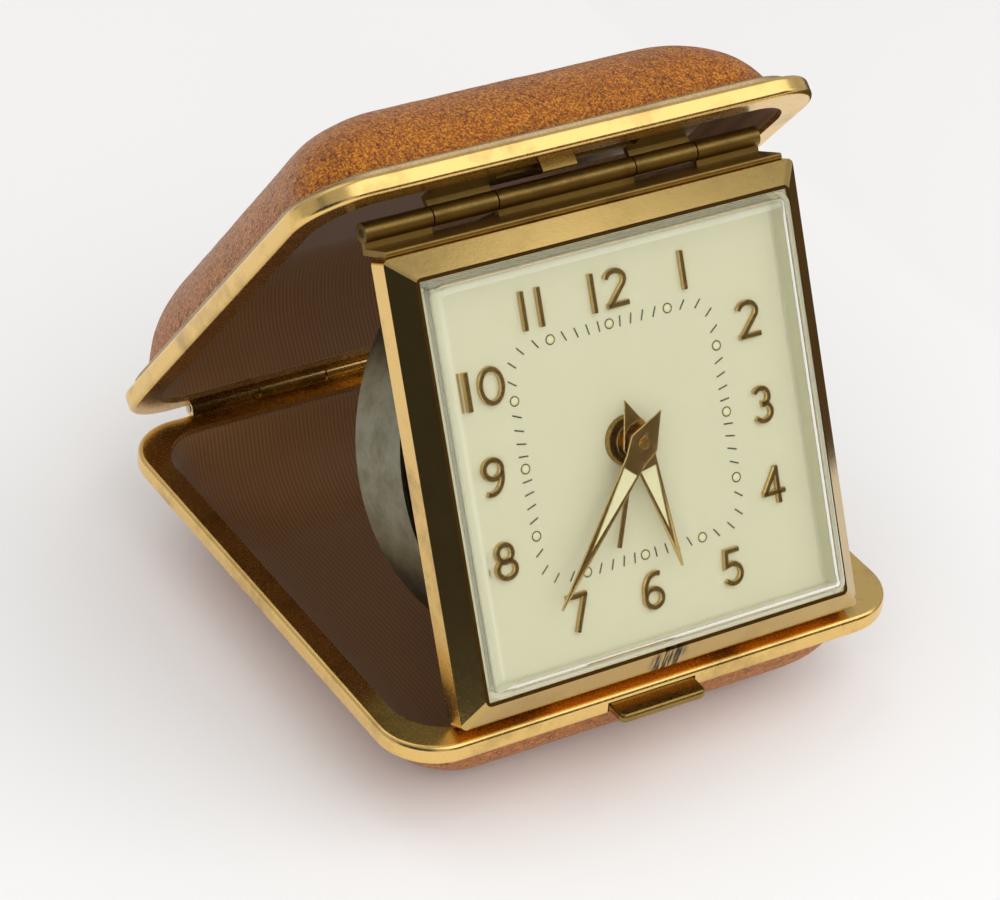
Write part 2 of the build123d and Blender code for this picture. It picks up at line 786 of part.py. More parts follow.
with BuildPart() as alarm_set_arbor:
    add(disc(setter_place, knob_bottom, alarm_level + wheel_thickness + leaf_overhang, arbor_radius))
    setter_bottom = alarm_level - leaf_overhang
    add(toothed(setter_place, setter_bottom, leaf_length, setter_teeth, alarm_module, setter_phase))
save(alarm_set_arbor, "alarm_set_arbor")


def spring_barrel(name, place, top, radius):
    """Closed spring barrel with a bore for its arbor."""
    with BuildPart() as barrel:
        add(disc(place, barrel_bottom, top, radius))
        if name == "going_barrel":
            add(toothed(place, great_level, wheel_thickness, great_teeth, great_module, great_phase))
        add(disc(place, barrel_bottom, top, barrel_arbor_radius + pivot_clearance),
            mode=Mode.SUBTRACT)
    save(barrel, name)


great_phase = mesh_phase(leaf_teeth, 0.0, great_teeth, math.radians(great_direction))
barrel_radius = great_module * great_teeth / 2 - barrel_wall_gap
spring_barrel("going_barrel", great_place, great_level + wheel_thickness, barrel_radius)
spring_barrel("alarm_barrel", alarm_barrel_place, barrel_bottom + alarm_barrel_height,
              alarm_barrel_radius)

third_phase = mesh_phase(centre_teeth, 0.0, third_leaves, math.radians(third_direction))
with BuildPart() as third_wheel:
    add(arbor(third_place, arbor_radius, pivot_radius))
    leaf_bottom = centre_level - leaf_overhang
    add(toothed(third_place, leaf_bottom, leaf_length, third_leaves, centre_module, third_phase))
    add(toothed(third_place, third_level, wheel_thickness, third_teeth, third_module, 0.0))
save(third_wheel, "third_wheel")

with BuildPart() as fourth_wheel:
    add(arbor(fourth_place, arbor_radius, pivot_radius))
    add(toothed(fourth_place, fourth_level, wheel_thickness, fourth_teeth, fourth_module, 0.0))
save(fourth_wheel, "fourth_wheel")

with BuildPart() as escape_wheel:
    add(arbor(escape_place, arbor_radius, pivot_radius))
    add(toothed(escape_place, escape_level, wheel_thickness, escape_teeth, escape_module, 0.0))
save(escape_wheel, "escape_wheel")

with BuildPart() as pallet_fork:
    add(arbor(fork_place, arbor_radius, pivot_radius))
    with BuildSketch(clock_plane.offset(escape_level)):
        with Locations(fork_place):
            SlotOverall(fork_length, fork_width, rotation=fork_direction + 90)
    extrude(amount=wheel_thickness)
save(pallet_fork, "pallet_fork")

with BuildPart() as balance_wheel:
    add(arbor(balance_place, arbor_radius, pivot_radius))
    balance_top = balance_level + wheel_thickness
    add(disc(balance_place, balance_level, balance_top, balance_radius, balance_radius - balance_rim))
    with BuildSketch(clock_plane.offset(balance_level)):
        with Locations(balance_place):
            Rectangle(2 * balance_radius - balance_rim, 2 * arbor_radius)
    extrude(amount=wheel_thickness)
save(balance_wheel, "balance_wheel")

with BuildPart() as alarm_hammer:
    add(arbor(hammer_place, arbor_radius, pivot_radius))
    with BuildSketch(clock_plane.offset(back_front + hammer_lift)):
        with Locations(hammer_place):
            Rectangle(hammer_arm_width, hammer_arm, align=(Align.CENTER, Align.MIN))
        with Locations(polar(hammer_place, hammer_arm, 90.0)):
            Circle(hammer_head_radius)
    extrude(amount=hammer_thickness)
save(alarm_hammer, "alarm_hammer")

# Movement ring and drum
with BuildPart() as movement_ring:
    add(disc(centre, -drum_front, -frame_depth, ring_neck_radius, ring_neck_radius - ring_wall))
    seat_radius = drum_radius - drum_wall - ring_clearance
    seat_bottom = -drum_front - ring_seat_depth
    add(disc(centre, seat_bottom, -drum_front, seat_radius, ring_neck_radius - ring_wall))
save(movement_ring, "movement_ring")

with BuildPart() as drum:
    add(disc(centre, -drum_back, -drum_front, drum_radius))
    add(disc(centre, -drum_back + drum_wall, -drum_front, drum_radius - drum_wall), mode=Mode.SUBTRACT)
    for place in through_back:
        hole = pivots[place] + 2 * pivot_clearance
        add(disc(place, -drum_back, -drum_back + drum_wall, hole), mode=Mode.SUBTRACT)
    back_edge = drum.faces().sort_by(Axis(head_middle, head_out))[0].outer_wire().edges()
    fillet(back_edge, radius=drum_edge_round)
save(drum, "drum")


# Controls on the back
def winding_key(name, place):
    """Wing key on the end of a barrel arbor."""
    with BuildPart() as key:
        add(disc(place, knob_bottom, front_face, barrel_arbor_radius))
        add(disc(place, knob_bottom, knob_top, key_hub_radius))
        with BuildSketch(clock_plane.offset(knob_bottom)):
            with Locations(place):
                SlotOverall(key_width, key_thickness)
        extrude(amount=key_height)
    save(key, name)


def setting_knob(name, place, bore):
    """Round knurled-edge knob pressed on a setting arbor."""
    with BuildPart() as knob:
        with BuildSketch(clock_plane.offset(knob_bottom)):
            with Locations(place):
                Circle(knob_radius)
                with PolarLocations(knob_radius, knob_notches):
                    Circle(knob_notch, mode=Mode.SUBTRACT)
                Circle(bore, mode=Mode.SUBTRACT)
        extrude(amount=knob_height)
    save(knob, name)


winding_key("time_key", great_place)
winding_key("alarm_key", alarm_barrel_place)
setting_knob("hand_set_knob", centre, centre_arbor_radius)
setting_knob("alarm_set_knob", setter_place, arbor_radius)

if __name__ == "__main__":
    print("lid opening", round(math.degrees(lid_angle), 3))
    print("clock lean", round(math.degrees(clock_lean), 3))
    print("case axis", tuple(round(value, 4) for value in case_axis))
    print("clock axis", tuple(round(value, 4) for value in clock_axis))
    print("dial centre", tuple(round(value, 4) for value in head_middle))
    for label, place in (("minute wheel", minute_place), ("great wheel", great_place),
                         ("third wheel", third_place), ("fourth wheel", fourth_place),
                         ("escape wheel", escape_place), ("balance", balance_place),
                         ("fork", fork_place), ("alarm barrel", alarm_barrel_place),
                         ("hammer", hammer_place), ("alarm setter", setter_place)):
        spot = clock_plane.from_local_coords(Vector(place[0], place[1], 0))
        print(label, tuple(round(value, 4) for value in spot))
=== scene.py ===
"""Folding travel alarm clock: finishes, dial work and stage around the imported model.

Laid out as an add-on and run as a script. Lengths are in metres, as in the frame.
"""
import json
import math

import bpy
from bpy.props import FloatProperty, FloatVectorProperty, PointerProperty, StringProperty
from bpy.types import Operator, Panel, PropertyGroup
from mathutils import Matrix, Quaternion, Vector


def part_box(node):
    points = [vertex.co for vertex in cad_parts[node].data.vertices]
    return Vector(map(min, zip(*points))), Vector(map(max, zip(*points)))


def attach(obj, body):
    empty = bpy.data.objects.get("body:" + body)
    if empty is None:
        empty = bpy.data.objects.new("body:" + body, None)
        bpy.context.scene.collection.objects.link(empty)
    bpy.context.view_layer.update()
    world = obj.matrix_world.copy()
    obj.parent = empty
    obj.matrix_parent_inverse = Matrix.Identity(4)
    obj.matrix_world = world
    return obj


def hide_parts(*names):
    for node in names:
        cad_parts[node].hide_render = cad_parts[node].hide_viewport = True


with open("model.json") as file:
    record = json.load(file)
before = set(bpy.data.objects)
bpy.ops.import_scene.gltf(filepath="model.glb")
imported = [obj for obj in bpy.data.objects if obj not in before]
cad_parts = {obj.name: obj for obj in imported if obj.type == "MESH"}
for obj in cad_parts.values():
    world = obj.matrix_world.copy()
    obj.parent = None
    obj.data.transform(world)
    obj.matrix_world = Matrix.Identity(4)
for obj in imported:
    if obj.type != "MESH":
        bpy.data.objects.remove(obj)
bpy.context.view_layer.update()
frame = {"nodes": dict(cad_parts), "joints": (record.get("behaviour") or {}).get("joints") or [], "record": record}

bl_info = {
    "name": "Travel alarm clock",
    "version": (1, 0, 0),
    "blender": (4, 5, 0),
    "location": "View3D > Sidebar > Travel clock",
    "description": "Leather, brass, cloth and dial work of a folding travel alarm clock",
    "category": "Object",
}

MM = 0.001
SMOOTH_ANGLE = math.radians(35)
EDGE_SEGMENTS = 3
nodes = frame["nodes"]
joints = {joint["name"]: joint for joint in frame["joints"]}

# Planes of the object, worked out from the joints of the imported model
case_hinge = Vector(joints["lid_hinge"]["pos_m"])
dial_centre = Vector(joints["minute_spin"]["pos_m"])
head_out = -Vector(joints["minute_spin"]["axis"]).normalized()
head_side = Vector((1, 0, 0))
head_up = head_out.cross(head_side)
clock_lean = math.atan2(head_out.z, -head_out.y)
clock_fold = math.radians(joints["clock_fold"]["range_deg"][1])
lid_opening = math.pi / 2 + clock_lean - clock_fold
head_frame = Matrix((head_side, head_up, head_out)).transposed().to_4x4()
head_frame.translation = dial_centre
mating_height = case_hinge.z
about_hinge = Matrix.Translation(case_hinge)
lid_frame = (about_hinge @ Matrix.Rotation(-lid_opening, 4, "X") @ about_hinge.inverted()
             @ Matrix.Translation((0, 0, mating_height)))
base_frame = Matrix.Translation((0, 0, mating_height)) @ Matrix.Rotation(math.pi, 4, "X")
dial_face = max((vertex.co - dial_centre).dot(head_out) for vertex in nodes["dial"].data.vertices)

# Middle of the rubbed place at the bottom of the bezel
bezel_rub = head_frame @ Vector((-0.1 * MM, -28.2 * MM, 1.0 * MM))


# Settings that a user would change
def length(label, note, millimetres):
    """Property for a size that is written in millimetres."""
    return FloatProperty(name=label, description=note, default=millimetres * MM, unit="LENGTH", precision=5)


def number(label, note, value, unit="NONE"):
    """Property for a plain number, or for one that is written in its own unit."""
    return FloatProperty(name=label, description=note, default=value, unit=unit)


def tilt(label, note, degrees):
    """Property for an angle that is written in degrees."""
    return FloatProperty(name=label, description=note, default=math.radians(degrees), subtype="ANGLE")


def position(label, note, metres):
    """Property for a place that is written in metres."""
    return FloatVectorProperty(name=label, description=note, default=metres, size=3, subtype="XYZ",
                               unit="LENGTH")


def colour(label, note, code):
    """Property for a colour that is written as an sRGB hex value."""
    return StringProperty(name=label, description=note, default=code)


class ClockSizes(PropertyGroup):
    """Sizes of the pieces that dress the clock."""
    leather_corner: length("Leather corner", "Plan radius of the leather shell at the rim", 9.0)
    leather_shoulder: length("Leather shoulder", "Radius between wall and crown", 14.0)
    leather_draft: tilt("Leather draft", "Lean of the wall at the rim", 19.0)
    leather_thickness: length("Leather thickness", "Thickness of the skin", 0.8)
    leather_swell: length("Leather swell", "Height of the soft unevenness of the skin", 0.16)
    leather_swell_width: length("Leather swell width", "Width of the soft unevenness", 5.0)
    bead_width: length("Bead width", "Width of the bead along the rims", 0.8)
    bead_rise: length("Bead rise", "Height of the bead off the rim", 0.8)
    numeral_height: length("Numeral height", "Height of a raised numeral", 5.0)
    numeral_stroke: length("Numeral stroke", "Width of a numeral's stroke", 0.7)
    numeral_rise: length("Numeral rise", "How far a numeral stands off the dial", 0.6)
    numeral_edge: length("Numeral edge", "Rounding along the top of a numeral", 0.1)
    numeral_ring: length("Numeral ring", "Half width of the square that the numerals stand on", 20.0)
    track_half: length("Minute track", "Half width of the rounded square of minute marks", 15.0)
    tick_length: length("Minute mark length", "Length of a minute mark", 1.4)
    tick_width: length("Minute mark width", "Width of a minute mark", 0.2)
    print_rise: length("Print rise", "How far printed marks stand off the dial", 0.03)
    dot_radius: length("Hour dot radius", "Radius of a luminous dot", 0.52)
    dot_ring: length("Hour dot outline", "Width of the outline round a dot", 0.16)
    crystal_shoulder: length("Crystal shoulder", "Radius of the crystal's shoulder", 2.2)
    crystal_corner: length("Crystal corner", "Plan radius of the crystal's corners", 1.4)
    crystal_thickness: length("Crystal thickness", "Thickness of the crystal", 1.1)
    # The next three sizes shape the pale band round the crystal, which is painted light: it stands in for the glow
    # of light refracted through the crystal's wall
    halo_thickness: length("Seal thickness", "Thickness of the cement round the crystal", 0.06)
    halo_gap: length("Seal gap", "Room between the crystal and the cement", 0.02)
    halo_drop: length("Seal drop", "How far the cement stays below the bezel's inner edge", 0.25)
    catch_edge: length("Catch edge", "Rounding along the edges of the catch", 0.35)
    hand_edge: length("Hand edge", "Rounding along the edges of a hand", 0.09)
    paste_gap: length("Paste gap", "Room between the paste and the window of a hand", 0.04)
    minute_window_start: length("Minute window start", "Near end of the window from the arbor", 4.0)
    minute_window_end: length("Minute window end", "Far end of the window from the arbor", 14.6)
    minute_window_width: length("Minute window width", "Width of the window at its near end", 2.1)
    hour_window_start: length("Hour window start", "Near end of the window from the arbor", 3.6)
    hour_window_end: length("Hour window end", "Far end of the window from the arbor", 12.1)
    hour_window_width: length("Hour window width", "Width of the window at its near end", 2.3)


class ClockColours(PropertyGroup):
    """Colours of the finishes, as sRGB hex values."""
    leather_light: colour("Leather, fleck", "Bright flecks of the grain", "#DC901A")
    leather: colour("Leather", "Main dye of the leather", "#984A06")
    leather_deep: colour("Leather, deep", "Dye in the creases and pores", "#552407")
    leather_bloom: colour("Leather, bloom", "Pale bloom where the leather turns away", "#E2D6D0")
    gilt: colour("Gilt brass", "Polished rims", "#EBC57A")
    tarnish: colour("Tarnish", "Dulled patches on brass", "#7D6232")
    bezel: colour("Lacquered brass", "Bezel round the dial", "#C3A565")
    worn: colour("Worn brass", "Hinge leaf and keys", "#957A42")
    paint: colour("Dial paint", "Cream silver paint", "#D3D0B6")
    numeral: colour("Numeral gilt", "Raised numerals and hands", "#CDB078")
    bead: colour("Rim bead", "Dull bead along the rims", "#B9A078")
    # Painted light: pale band round the crystal for the glow of light refracted through its wall
    halo: colour("Crystal seal", "Pale cement round the crystal", "#E6E1C8")
    bare: colour("Rubbed lacquer", "Metal where the lacquer of the bezel is rubbed off", "#33291C")
    acrylic: colour("Acrylic", "Clear crystal", "#FBFCF6")
    ink: colour("Dial ink", "Printed minute marks", "#4B4535")
    paste: colour("Luminous paste", "Filling of hands and dots", "#DCD7B0")
    # Painted light on the lining: the lit tops of the ribs and the shaded grooves between them
    cloth_lit_rib: colour("Lining, rib", "Top of a rib of the lining", "#8B6135")
    cloth_shaded_groove: colour("Lining, groove", "Between the ribs of the lining", "#754D26")
    drum: colour("Drum plating", "Dull plated steel", "#88846F")
    stain: colour("Drum stain", "Stains on the plating", "#645B42")
    steel: colour("Steel", "Turned and pressed steel", "#A9A9A6")
    black: colour("Black plastic", "Movement ring", "#141311")
    screen: colour("Dark screen", "Dark side of the room", "#464649")
    screen_brown: colour("Brown screen", "Brown side of the room", "#594833")
    floor: colour("Floor", "Plain pale floor", "#FBFAF9")


class ClockStage(PropertyGroup):
    """Camera, lights and floor."""
    camera_place: position("Camera place", "Where the camera stands", (-0.23892, -0.35435, 0.31542))
    camera_aim: position("Camera aim", "Point that the camera looks at", (-0.00178, 0.0, 0.0262))
    camera_roll: tilt("Camera roll", "Turn about the line of sight", 4.78)
    camera_lens: number("Lens", "Focal length in millimetres", 140.37, "CAMERA")
    camera_sensor: number("Sensor", "Width of the sensor in millimetres", 36.0, "CAMERA")
    camera_near: length("Near limit", "Nearest distance that the camera sees", 10.0)
    floor_size: length("Floor", "Width of the floor", 4000.0)
    floor_roughness: number("Floor roughness", "Roughness of the floor", 0.7)
    lamp_aim: position("Lamp aim", "Point that the lamps and screens face", (0.0, 0.0, 0.03))
    key_place: position("Key place", "Where the front light hangs", (0.47, -0.55, 0.83))
    key_size: length("Key size", "Width of the front light", 1200.0)
    key_power: number("Key light", "Power of the front light in watts", 4.9, "POWER")
    fill_place: position("Fill place", "Where the fill light hangs", (-0.5, -0.8, 0.62))
    fill_size: length("Fill size", "Width of the fill light", 1100.0)
    fill_power: number("Fill light", "Power of the fill light in watts", 4.8, "POWER")
    top_place: position("Top place", "Where the overhead light hangs", (-0.25, 0.45, 1.0))
    top_size: length("Top size", "Width of the overhead light", 800.0)
    top_power: number("Top light", "Power of the overhead light in watts", 1.0, "POWER")
    world_level: number("Room", "Strength of the room's light", 0.58)
    mirror_level: number("Room in metal", "Strength of the room in reflections", 0.5)
    left_screen: position("Left screen", "Middle of the dark screen", (-0.29, -0.215, 0.12))
    left_screen_size: length("Left screen width", "Width of the dark screen", 380.0)
    front_screen: position("Front screen", "Middle of the brown screen", (0.34, -0.64, 0.14))
    front_screen_size: length("Front screen width", "Width of the brown screen", 700.0)
    table: position("Table", "Middle of the brown table top", (0.385, 0.1, 0.0005))
    table_size: length("Table width", "Width of the brown table top", 560.0)


# Shared helpers
def linear(code):
    """Turn an sRGB hex value into linear RGBA."""
    values = [int(code[place:place + 2], 16) / 255 for place in (1, 3, 5)]
    return [v / 12.92 if v <= 0.04045 else ((v + 0.055) / 1.055) ** 2.4 for v in values] + [1.0]


def plug(tree, node, values=(), links=()):
    """Set the sockets of a node and link other nodes' sockets to it."""
    for socket, value in dict(values).items():
        node.inputs[socket].default_value = value
    for socket, source in dict(links).items():
        tree.links.new(source, node.inputs[socket])


def add_node(tree, kind, values=(), links=(), **settings):
    """Add a shader node with its properties, its sockets and its links."""
    node = tree.nodes.new(kind)
    for name, value in settings.items():
        setattr(node, name, value)
    plug(tree, node, values, links)
    return node


def new_material(name):
    """Empty node material with its shader and object coordinates."""
    material = bpy.data.materials.new(name)
    material.use_nodes = True
    tree = material.node_tree
    shader = tree.nodes["Principled BSDF"]
    place = add_node(tree, "ShaderNodeTexCoord").outputs["Object"]
    return material, tree, shader, place


def deselect():
    """Leave edit mode and select nothing."""
    if bpy.context.mode != "OBJECT":
        bpy.ops.object.mode_set(mode="OBJECT")
    bpy.ops.object.select_all(action="DESELECT")


def pick(piece):
    """Make a piece the only selected object and the active one."""
    deselect()
    piece.select_set(True)
    bpy.context.view_layer.objects.active = piece


def rename(piece, name):
    """Give a piece and its mesh the same name."""
    piece.name = name
    piece.data.name = name


def settle(piece, matrix):
    """Move a piece's place into its mesh, with its object at the origin, and smooth its faces."""
    pick(piece)
    piece.data.transform(matrix)
    piece.matrix_world = Matrix.Identity(4)
    bpy.ops.object.mode_set(mode="EDIT")
    bpy.ops.mesh.select_all(action="SELECT")
    bpy.ops.mesh.normals_make_consistent(inside=False)
    bpy.ops.object.mode_set(mode="OBJECT")
    bpy.ops.object.shade_smooth_by_angle(angle=SMOOTH_ANGLE)


def dress(piece, material, body):
    """Give a new piece its material and its body."""
    piece.data.materials.clear()
    piece.data.materials.append(material)
    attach(piece, body)


def join(pieces, name):
    """Join several objects into one named piece."""
    deselect()
    for piece in pieces:
        piece.select_set(True)
    bpy.context.view_layer.objects.active = pieces[0]
    bpy.ops.object.join()
    joined = bpy.context.view_layer.objects.active
    rename(joined, name)
    return joined


# Finishes
def grained_leather(colours):
    """Dyed pigskin: fine mottled grain, short creases that run over the shoulder, and dark pores."""
    material, tree, shader, place = new_material("grained_leather")
    grain = 0.32 * MM
    drawn = add_node(tree, "ShaderNodeMapping", {"Scale": (1.0, 0.6, 0.6)}, {"Vector": place})
    mottle = add_node(tree, "ShaderNodeTexNoise", {"Scale": 1 / grain, "Detail": 5.0, "Roughness": 0.6,
                      "Distortion": 0.6}, {"Vector": place})
    crease = add_node(tree, "ShaderNodeTexNoise", {"Scale": 0.7 / grain, "Detail": 6.0, "Roughness": 0.62,
                      "Distortion": 1.2}, {"Vector": drawn.outputs[0]})
    pore = add_node(tree, "ShaderNodeTexVoronoi", {"Scale": 0.36 / grain}, {"Vector": place})
    patch = add_node(tree, "ShaderNodeTexNoise", {"Scale": 0.06 / grain, "Detail": 3.0}, {"Vector": place})
    fleck = add_node(tree, "ShaderNodeMapRange", {"From Min": 0.44, "From Max": 0.57},
                     {"Value": mottle.outputs["Fac"]})
    fold = add_node(tree, "ShaderNodeMapRange", {"From Min": 0.33, "From Max": 0.53},
                    {"Value": crease.outputs["Fac"]})
    pit = add_node(tree, "ShaderNodeMapRange", {"From Min": 0.1, "From Max": 0.26, "To Min": 0.45},
                   {"Value": pore.outputs["Distance"]})
    skin = add_node(tree, "ShaderNodeMath", (), {0: fold.outputs[0], 1: pit.outputs[0]}, operation="MULTIPLY")
    dye = add_node(tree, "ShaderNodeMix", {"A": linear(colours.leather_deep), "B": linear(colours.leather)},
                   {"Factor": skin.outputs[0]}, data_type="RGBA")
    bright = add_node(tree, "ShaderNodeMath", {1: 0.85}, {0: fleck.outputs[0]}, operation="MULTIPLY")
    glow = add_node(tree, "ShaderNodeMath", (), {0: bright.outputs[0], 1: skin.outputs[0]},
                    operation="MULTIPLY")
    tint = add_node(tree, "ShaderNodeMix", {"B": linear(colours.leather_light)},
                    {"Factor": glow.outputs[0], "A": dye.outputs[2]}, data_type="RGBA")
    tone = add_node(tree, "ShaderNodeMapRange", {"From Min": 0.3, "From Max": 0.7, "To Min": 0.86,
                    "To Max": 1.08}, {"Value": patch.outputs["Fac"]})
    shade = add_node(tree, "ShaderNodeVectorMath", (), {0: tint.outputs[2], 1: tone.outputs[0]},
                     operation="MULTIPLY")
    height = add_node(tree, "ShaderNodeMath", (), {0: skin.outputs[0], 1: fleck.outputs[0]}, operation="ADD")
    relief = add_node(tree, "ShaderNodeBump", {"Strength": 0.5, "Distance": 0.12 * MM},
                      {"Height": height.outputs[0]})
    gloss = add_node(tree, "ShaderNodeMapRange", {"To Min": 0.52, "To Max": 0.36}, {"Value": skin.outputs[0]})
    plug(tree, shader, {"Specular IOR Level": 0.3, "Sheen Weight": 0.12, "Sheen Roughness": 0.35,
         "Sheen Tint": linear(colours.leather_bloom)},
         {"Base Color": shade.outputs[0], "Roughness": gloss.outputs[0], "Normal": relief.outputs[0]})
    return material


def brass(name, bright, dull, roughness, wear, rubbed=None, bare=None):
    """Gilt or lacquered brass: bright metal with fine marks, dulled patches and, if given, a rubbed place."""
    material, tree, shader, place = new_material(name)
    rub = 0.35 * MM
    marks = add_node(tree, "ShaderNodeTexNoise", {"Scale": 1 / rub, "Detail": 5.0, "Roughness": 0.7},
                     {"Vector": place})
    patch = add_node(tree, "ShaderNodeTexNoise", {"Scale": 0.05 / rub, "Detail": 8.0, "Roughness": 0.62},
                     {"Vector": place})
    dulled = add_node(tree, "ShaderNodeMapRange", {"From Min": 0.5, "From Max": 0.72, "To Max": wear},
                      {"Value": patch.outputs["Fac"]})
    tint = add_node(tree, "ShaderNodeMix", {"A": linear(bright), "B": linear(dull)},
                    {"Factor": dulled.outputs[0]}, data_type="RGBA")
    gloss = add_node(tree, "ShaderNodeMapRange", {"From Min": 0.3, "From Max": 0.7,
                     "To Min": roughness, "To Max": roughness * 2}, {"Value": marks.outputs["Fac"]})
    relief = add_node(tree, "ShaderNodeBump", {"Strength": 0.12, "Distance": 0.03 * MM},
                      {"Height": marks.outputs["Fac"]})
    if rubbed is not None:
        # The rub is full inside the core and fades out at the rim
        core = 1.9 * MM
        rim = 3.2 * MM
        drawn = add_node(tree, "ShaderNodeMapping", {"Scale": (1.0, 0.12, 0.12)}, {"Vector": place})
        streak = add_node(tree, "ShaderNodeTexNoise", {"Scale": 0.8 / rub, "Detail": 4.0},
                          {"Vector": drawn.outputs[0]})
        reach = add_node(tree, "ShaderNodeVectorMath", {1: rubbed}, {0: place}, operation="DISTANCE")
        spot = add_node(tree, "ShaderNodeMapRange", {"From Min": core, "From Max": rim, "To Min": 1.0,
                        "To Max": 0.0}, {"Value": reach.outputs["Value"]})
        scored = add_node(tree, "ShaderNodeMapRange", {"From Min": 0.4, "From Max": 0.52},
                          {"Value": streak.outputs["Fac"]})
        worn = add_node(tree, "ShaderNodeMath", (), {0: spot.outputs[0], 1: scored.outputs[0]},
                        operation="MULTIPLY")
        tint = add_node(tree, "ShaderNodeMix", {"B": linear(bare)},
                        {"Factor": worn.outputs[0], "A": tint.outputs[2]}, data_type="RGBA")
    plug(tree, shader, {"Metallic": 1.0},
         {"Base Color": tint.outputs[2], "Roughness": gloss.outputs[0], "Normal": relief.outputs[0]})
    return material


def ribbed_cloth(colours):
    """Ribbed lining cloth: narrow ribs with painted highlight and painted lustre on their tops, and painted shade
    in the grooves between.
    """
    material, tree, shader, place = new_material("ribbed_lining_cloth")
    rib = 0.6 * MM
    # A wave of scale 1 repeats every pi / 10
    ribs = add_node(tree, "ShaderNodeTexWave", {"Scale": math.pi / (10 * rib), "Distortion": 0.6,
                    "Detail": 2.0, "Detail Scale": 1.5}, {"Vector": place}, bands_direction="X")
    slub = add_node(tree, "ShaderNodeTexNoise", {"Scale": 0.3 / rib, "Detail": 6.0, "Roughness": 0.7},
                    {"Vector": place})
    # Broad patches of painted lustre: the moire look that light gives the ribbed cloth
    lustre = add_node(tree, "ShaderNodeTexNoise", {"Scale": 0.05 / rib, "Detail": 2.0}, {"Vector": place})
    lustre_and_slub = add_node(tree, "ShaderNodeMath", (), {0: lustre.outputs["Fac"], 1: slub.outputs["Fac"]},
                     operation="ADD")
    blend = add_node(tree, "ShaderNodeMath", (), {0: ribs.outputs["Fac"], 1: lustre_and_slub.outputs[0]},
                     operation="MULTIPLY")
    # Painted light: rib tops take the lit colour and the grooves the shaded one, the lustre patches add painted
    # highlight, and the slub is the yarn's own unevenness
    tint = add_node(tree, "ShaderNodeMix",
                    {"A": linear(colours.cloth_shaded_groove), "B": linear(colours.cloth_lit_rib)},
                    {"Factor": blend.outputs[0]}, data_type="RGBA")
    weave = add_node(tree, "ShaderNodeBump", {"Strength": 0.1, "Distance": 0.15 * MM},
                     {"Height": ribs.outputs["Fac"]})
    plug(tree, shader, {"Roughness": 0.6, "Sheen Weight": 0.3},
         {"Base Color": tint.outputs[2], "Normal": weave.outputs[0]})
    return material


def plated_steel(name, bright, dull, roughness, stains):
    """Plated or bare steel: an even dull metal with darker stains."""
    material, tree, shader, place = new_material(name)
    grit = 0.5 * MM
    cloud = add_node(tree, "ShaderNodeTexNoise", {"Scale": 0.12 / grit, "Detail": 10.0, "Roughness": 0.68},
                     {"Vector": place})
    fine = add_node(tree, "ShaderNodeTexNoise", {"Scale": 1 / grit, "Detail": 4.0}, {"Vector": place})
    stain = add_node(tree, "ShaderNodeMapRange", {"From Min": 0.42, "From Max": 0.66, "To Max": stains},
                     {"Value": cloud.outputs["Fac"]})
    tint = add_node(tree, "ShaderNodeMix", {"A": linear(bright), "B": linear(dull)},
                    {"Factor": stain.outputs[0]}, data_type="RGBA")
    gloss = add_node(tree, "ShaderNodeMapRange", {"To Min": roughness - 0.08, "To Max": roughness + 0.12},
                     {"Value": fine.outputs["Fac"]})
    relief = add_node(tree, "ShaderNodeBump", {"Strength": 0.1, "Distance": 0.03 * MM},
                      {"Height": fine.outputs["Fac"]})
    plug(tree, shader, {"Metallic": 1.0},
         {"Base Color": tint.outputs[2], "Roughness": gloss.outputs[0], "Normal": relief.outputs[0]})
    return material


def coating(name, code, roughness, speckle):
    """Paint, ink, paste or moulded plastic: an even coat with a fine speckle."""
    material, tree, shader, place = new_material(name)
    grain = 0.25 * MM
    fine = add_node(tree, "ShaderNodeTexNoise", {"Scale": 1 / grain, "Detail": 3.0}, {"Vector": place})
    shade = add_node(tree, "ShaderNodeMapRange", {"To Min": 1 - speckle, "To Max": 1 + speckle},
                     {"Value": fine.outputs["Fac"]})
    tint = add_node(tree, "ShaderNodeVectorMath", {0: linear(code)[:3]}, {1: shade.outputs[0]},
                    operation="MULTIPLY")
    relief = add_node(tree, "ShaderNodeBump", {"Strength": 0.08, "Distance": 0.02 * MM},
                      {"Height": fine.outputs["Fac"]})
    plug(tree, shader, {"Roughness": roughness},
         {"Base Color": tint.outputs[0], "Normal": relief.outputs[0]})
    return material


def clear_acrylic(colours):
    """Moulded acrylic: clear and glossy with a faint haze, and with light let through to the dial."""
    material, tree, shader, place = new_material("clear_acrylic")
    smear = 8 * MM
    haze = add_node(tree, "ShaderNodeTexNoise", {"Scale": 1 / smear, "Detail": 4.0}, {"Vector": place})
    gloss = add_node(tree, "ShaderNodeMapRange", {"To Min": 0.03, "To Max": 0.1},
                     {"Value": haze.outputs["Fac"]})
    plug(tree, shader, {"Base Color": linear(colours.acrylic), "Transmission Weight": 1.0, "IOR": 1.49},
         {"Roughness": gloss.outputs[0]})
    ray = add_node(tree, "ShaderNodeLightPath")
    clear = add_node(tree, "ShaderNodeBsdfTransparent")
    both = add_node(tree, "ShaderNodeMixShader", (), {0: ray.outputs["Is Shadow Ray"],
                    1: shader.outputs[0], 2: clear.outputs[0]})
    plug(tree, tree.nodes["Material Output"], (), {"Surface": both.outputs[0]})
    return material


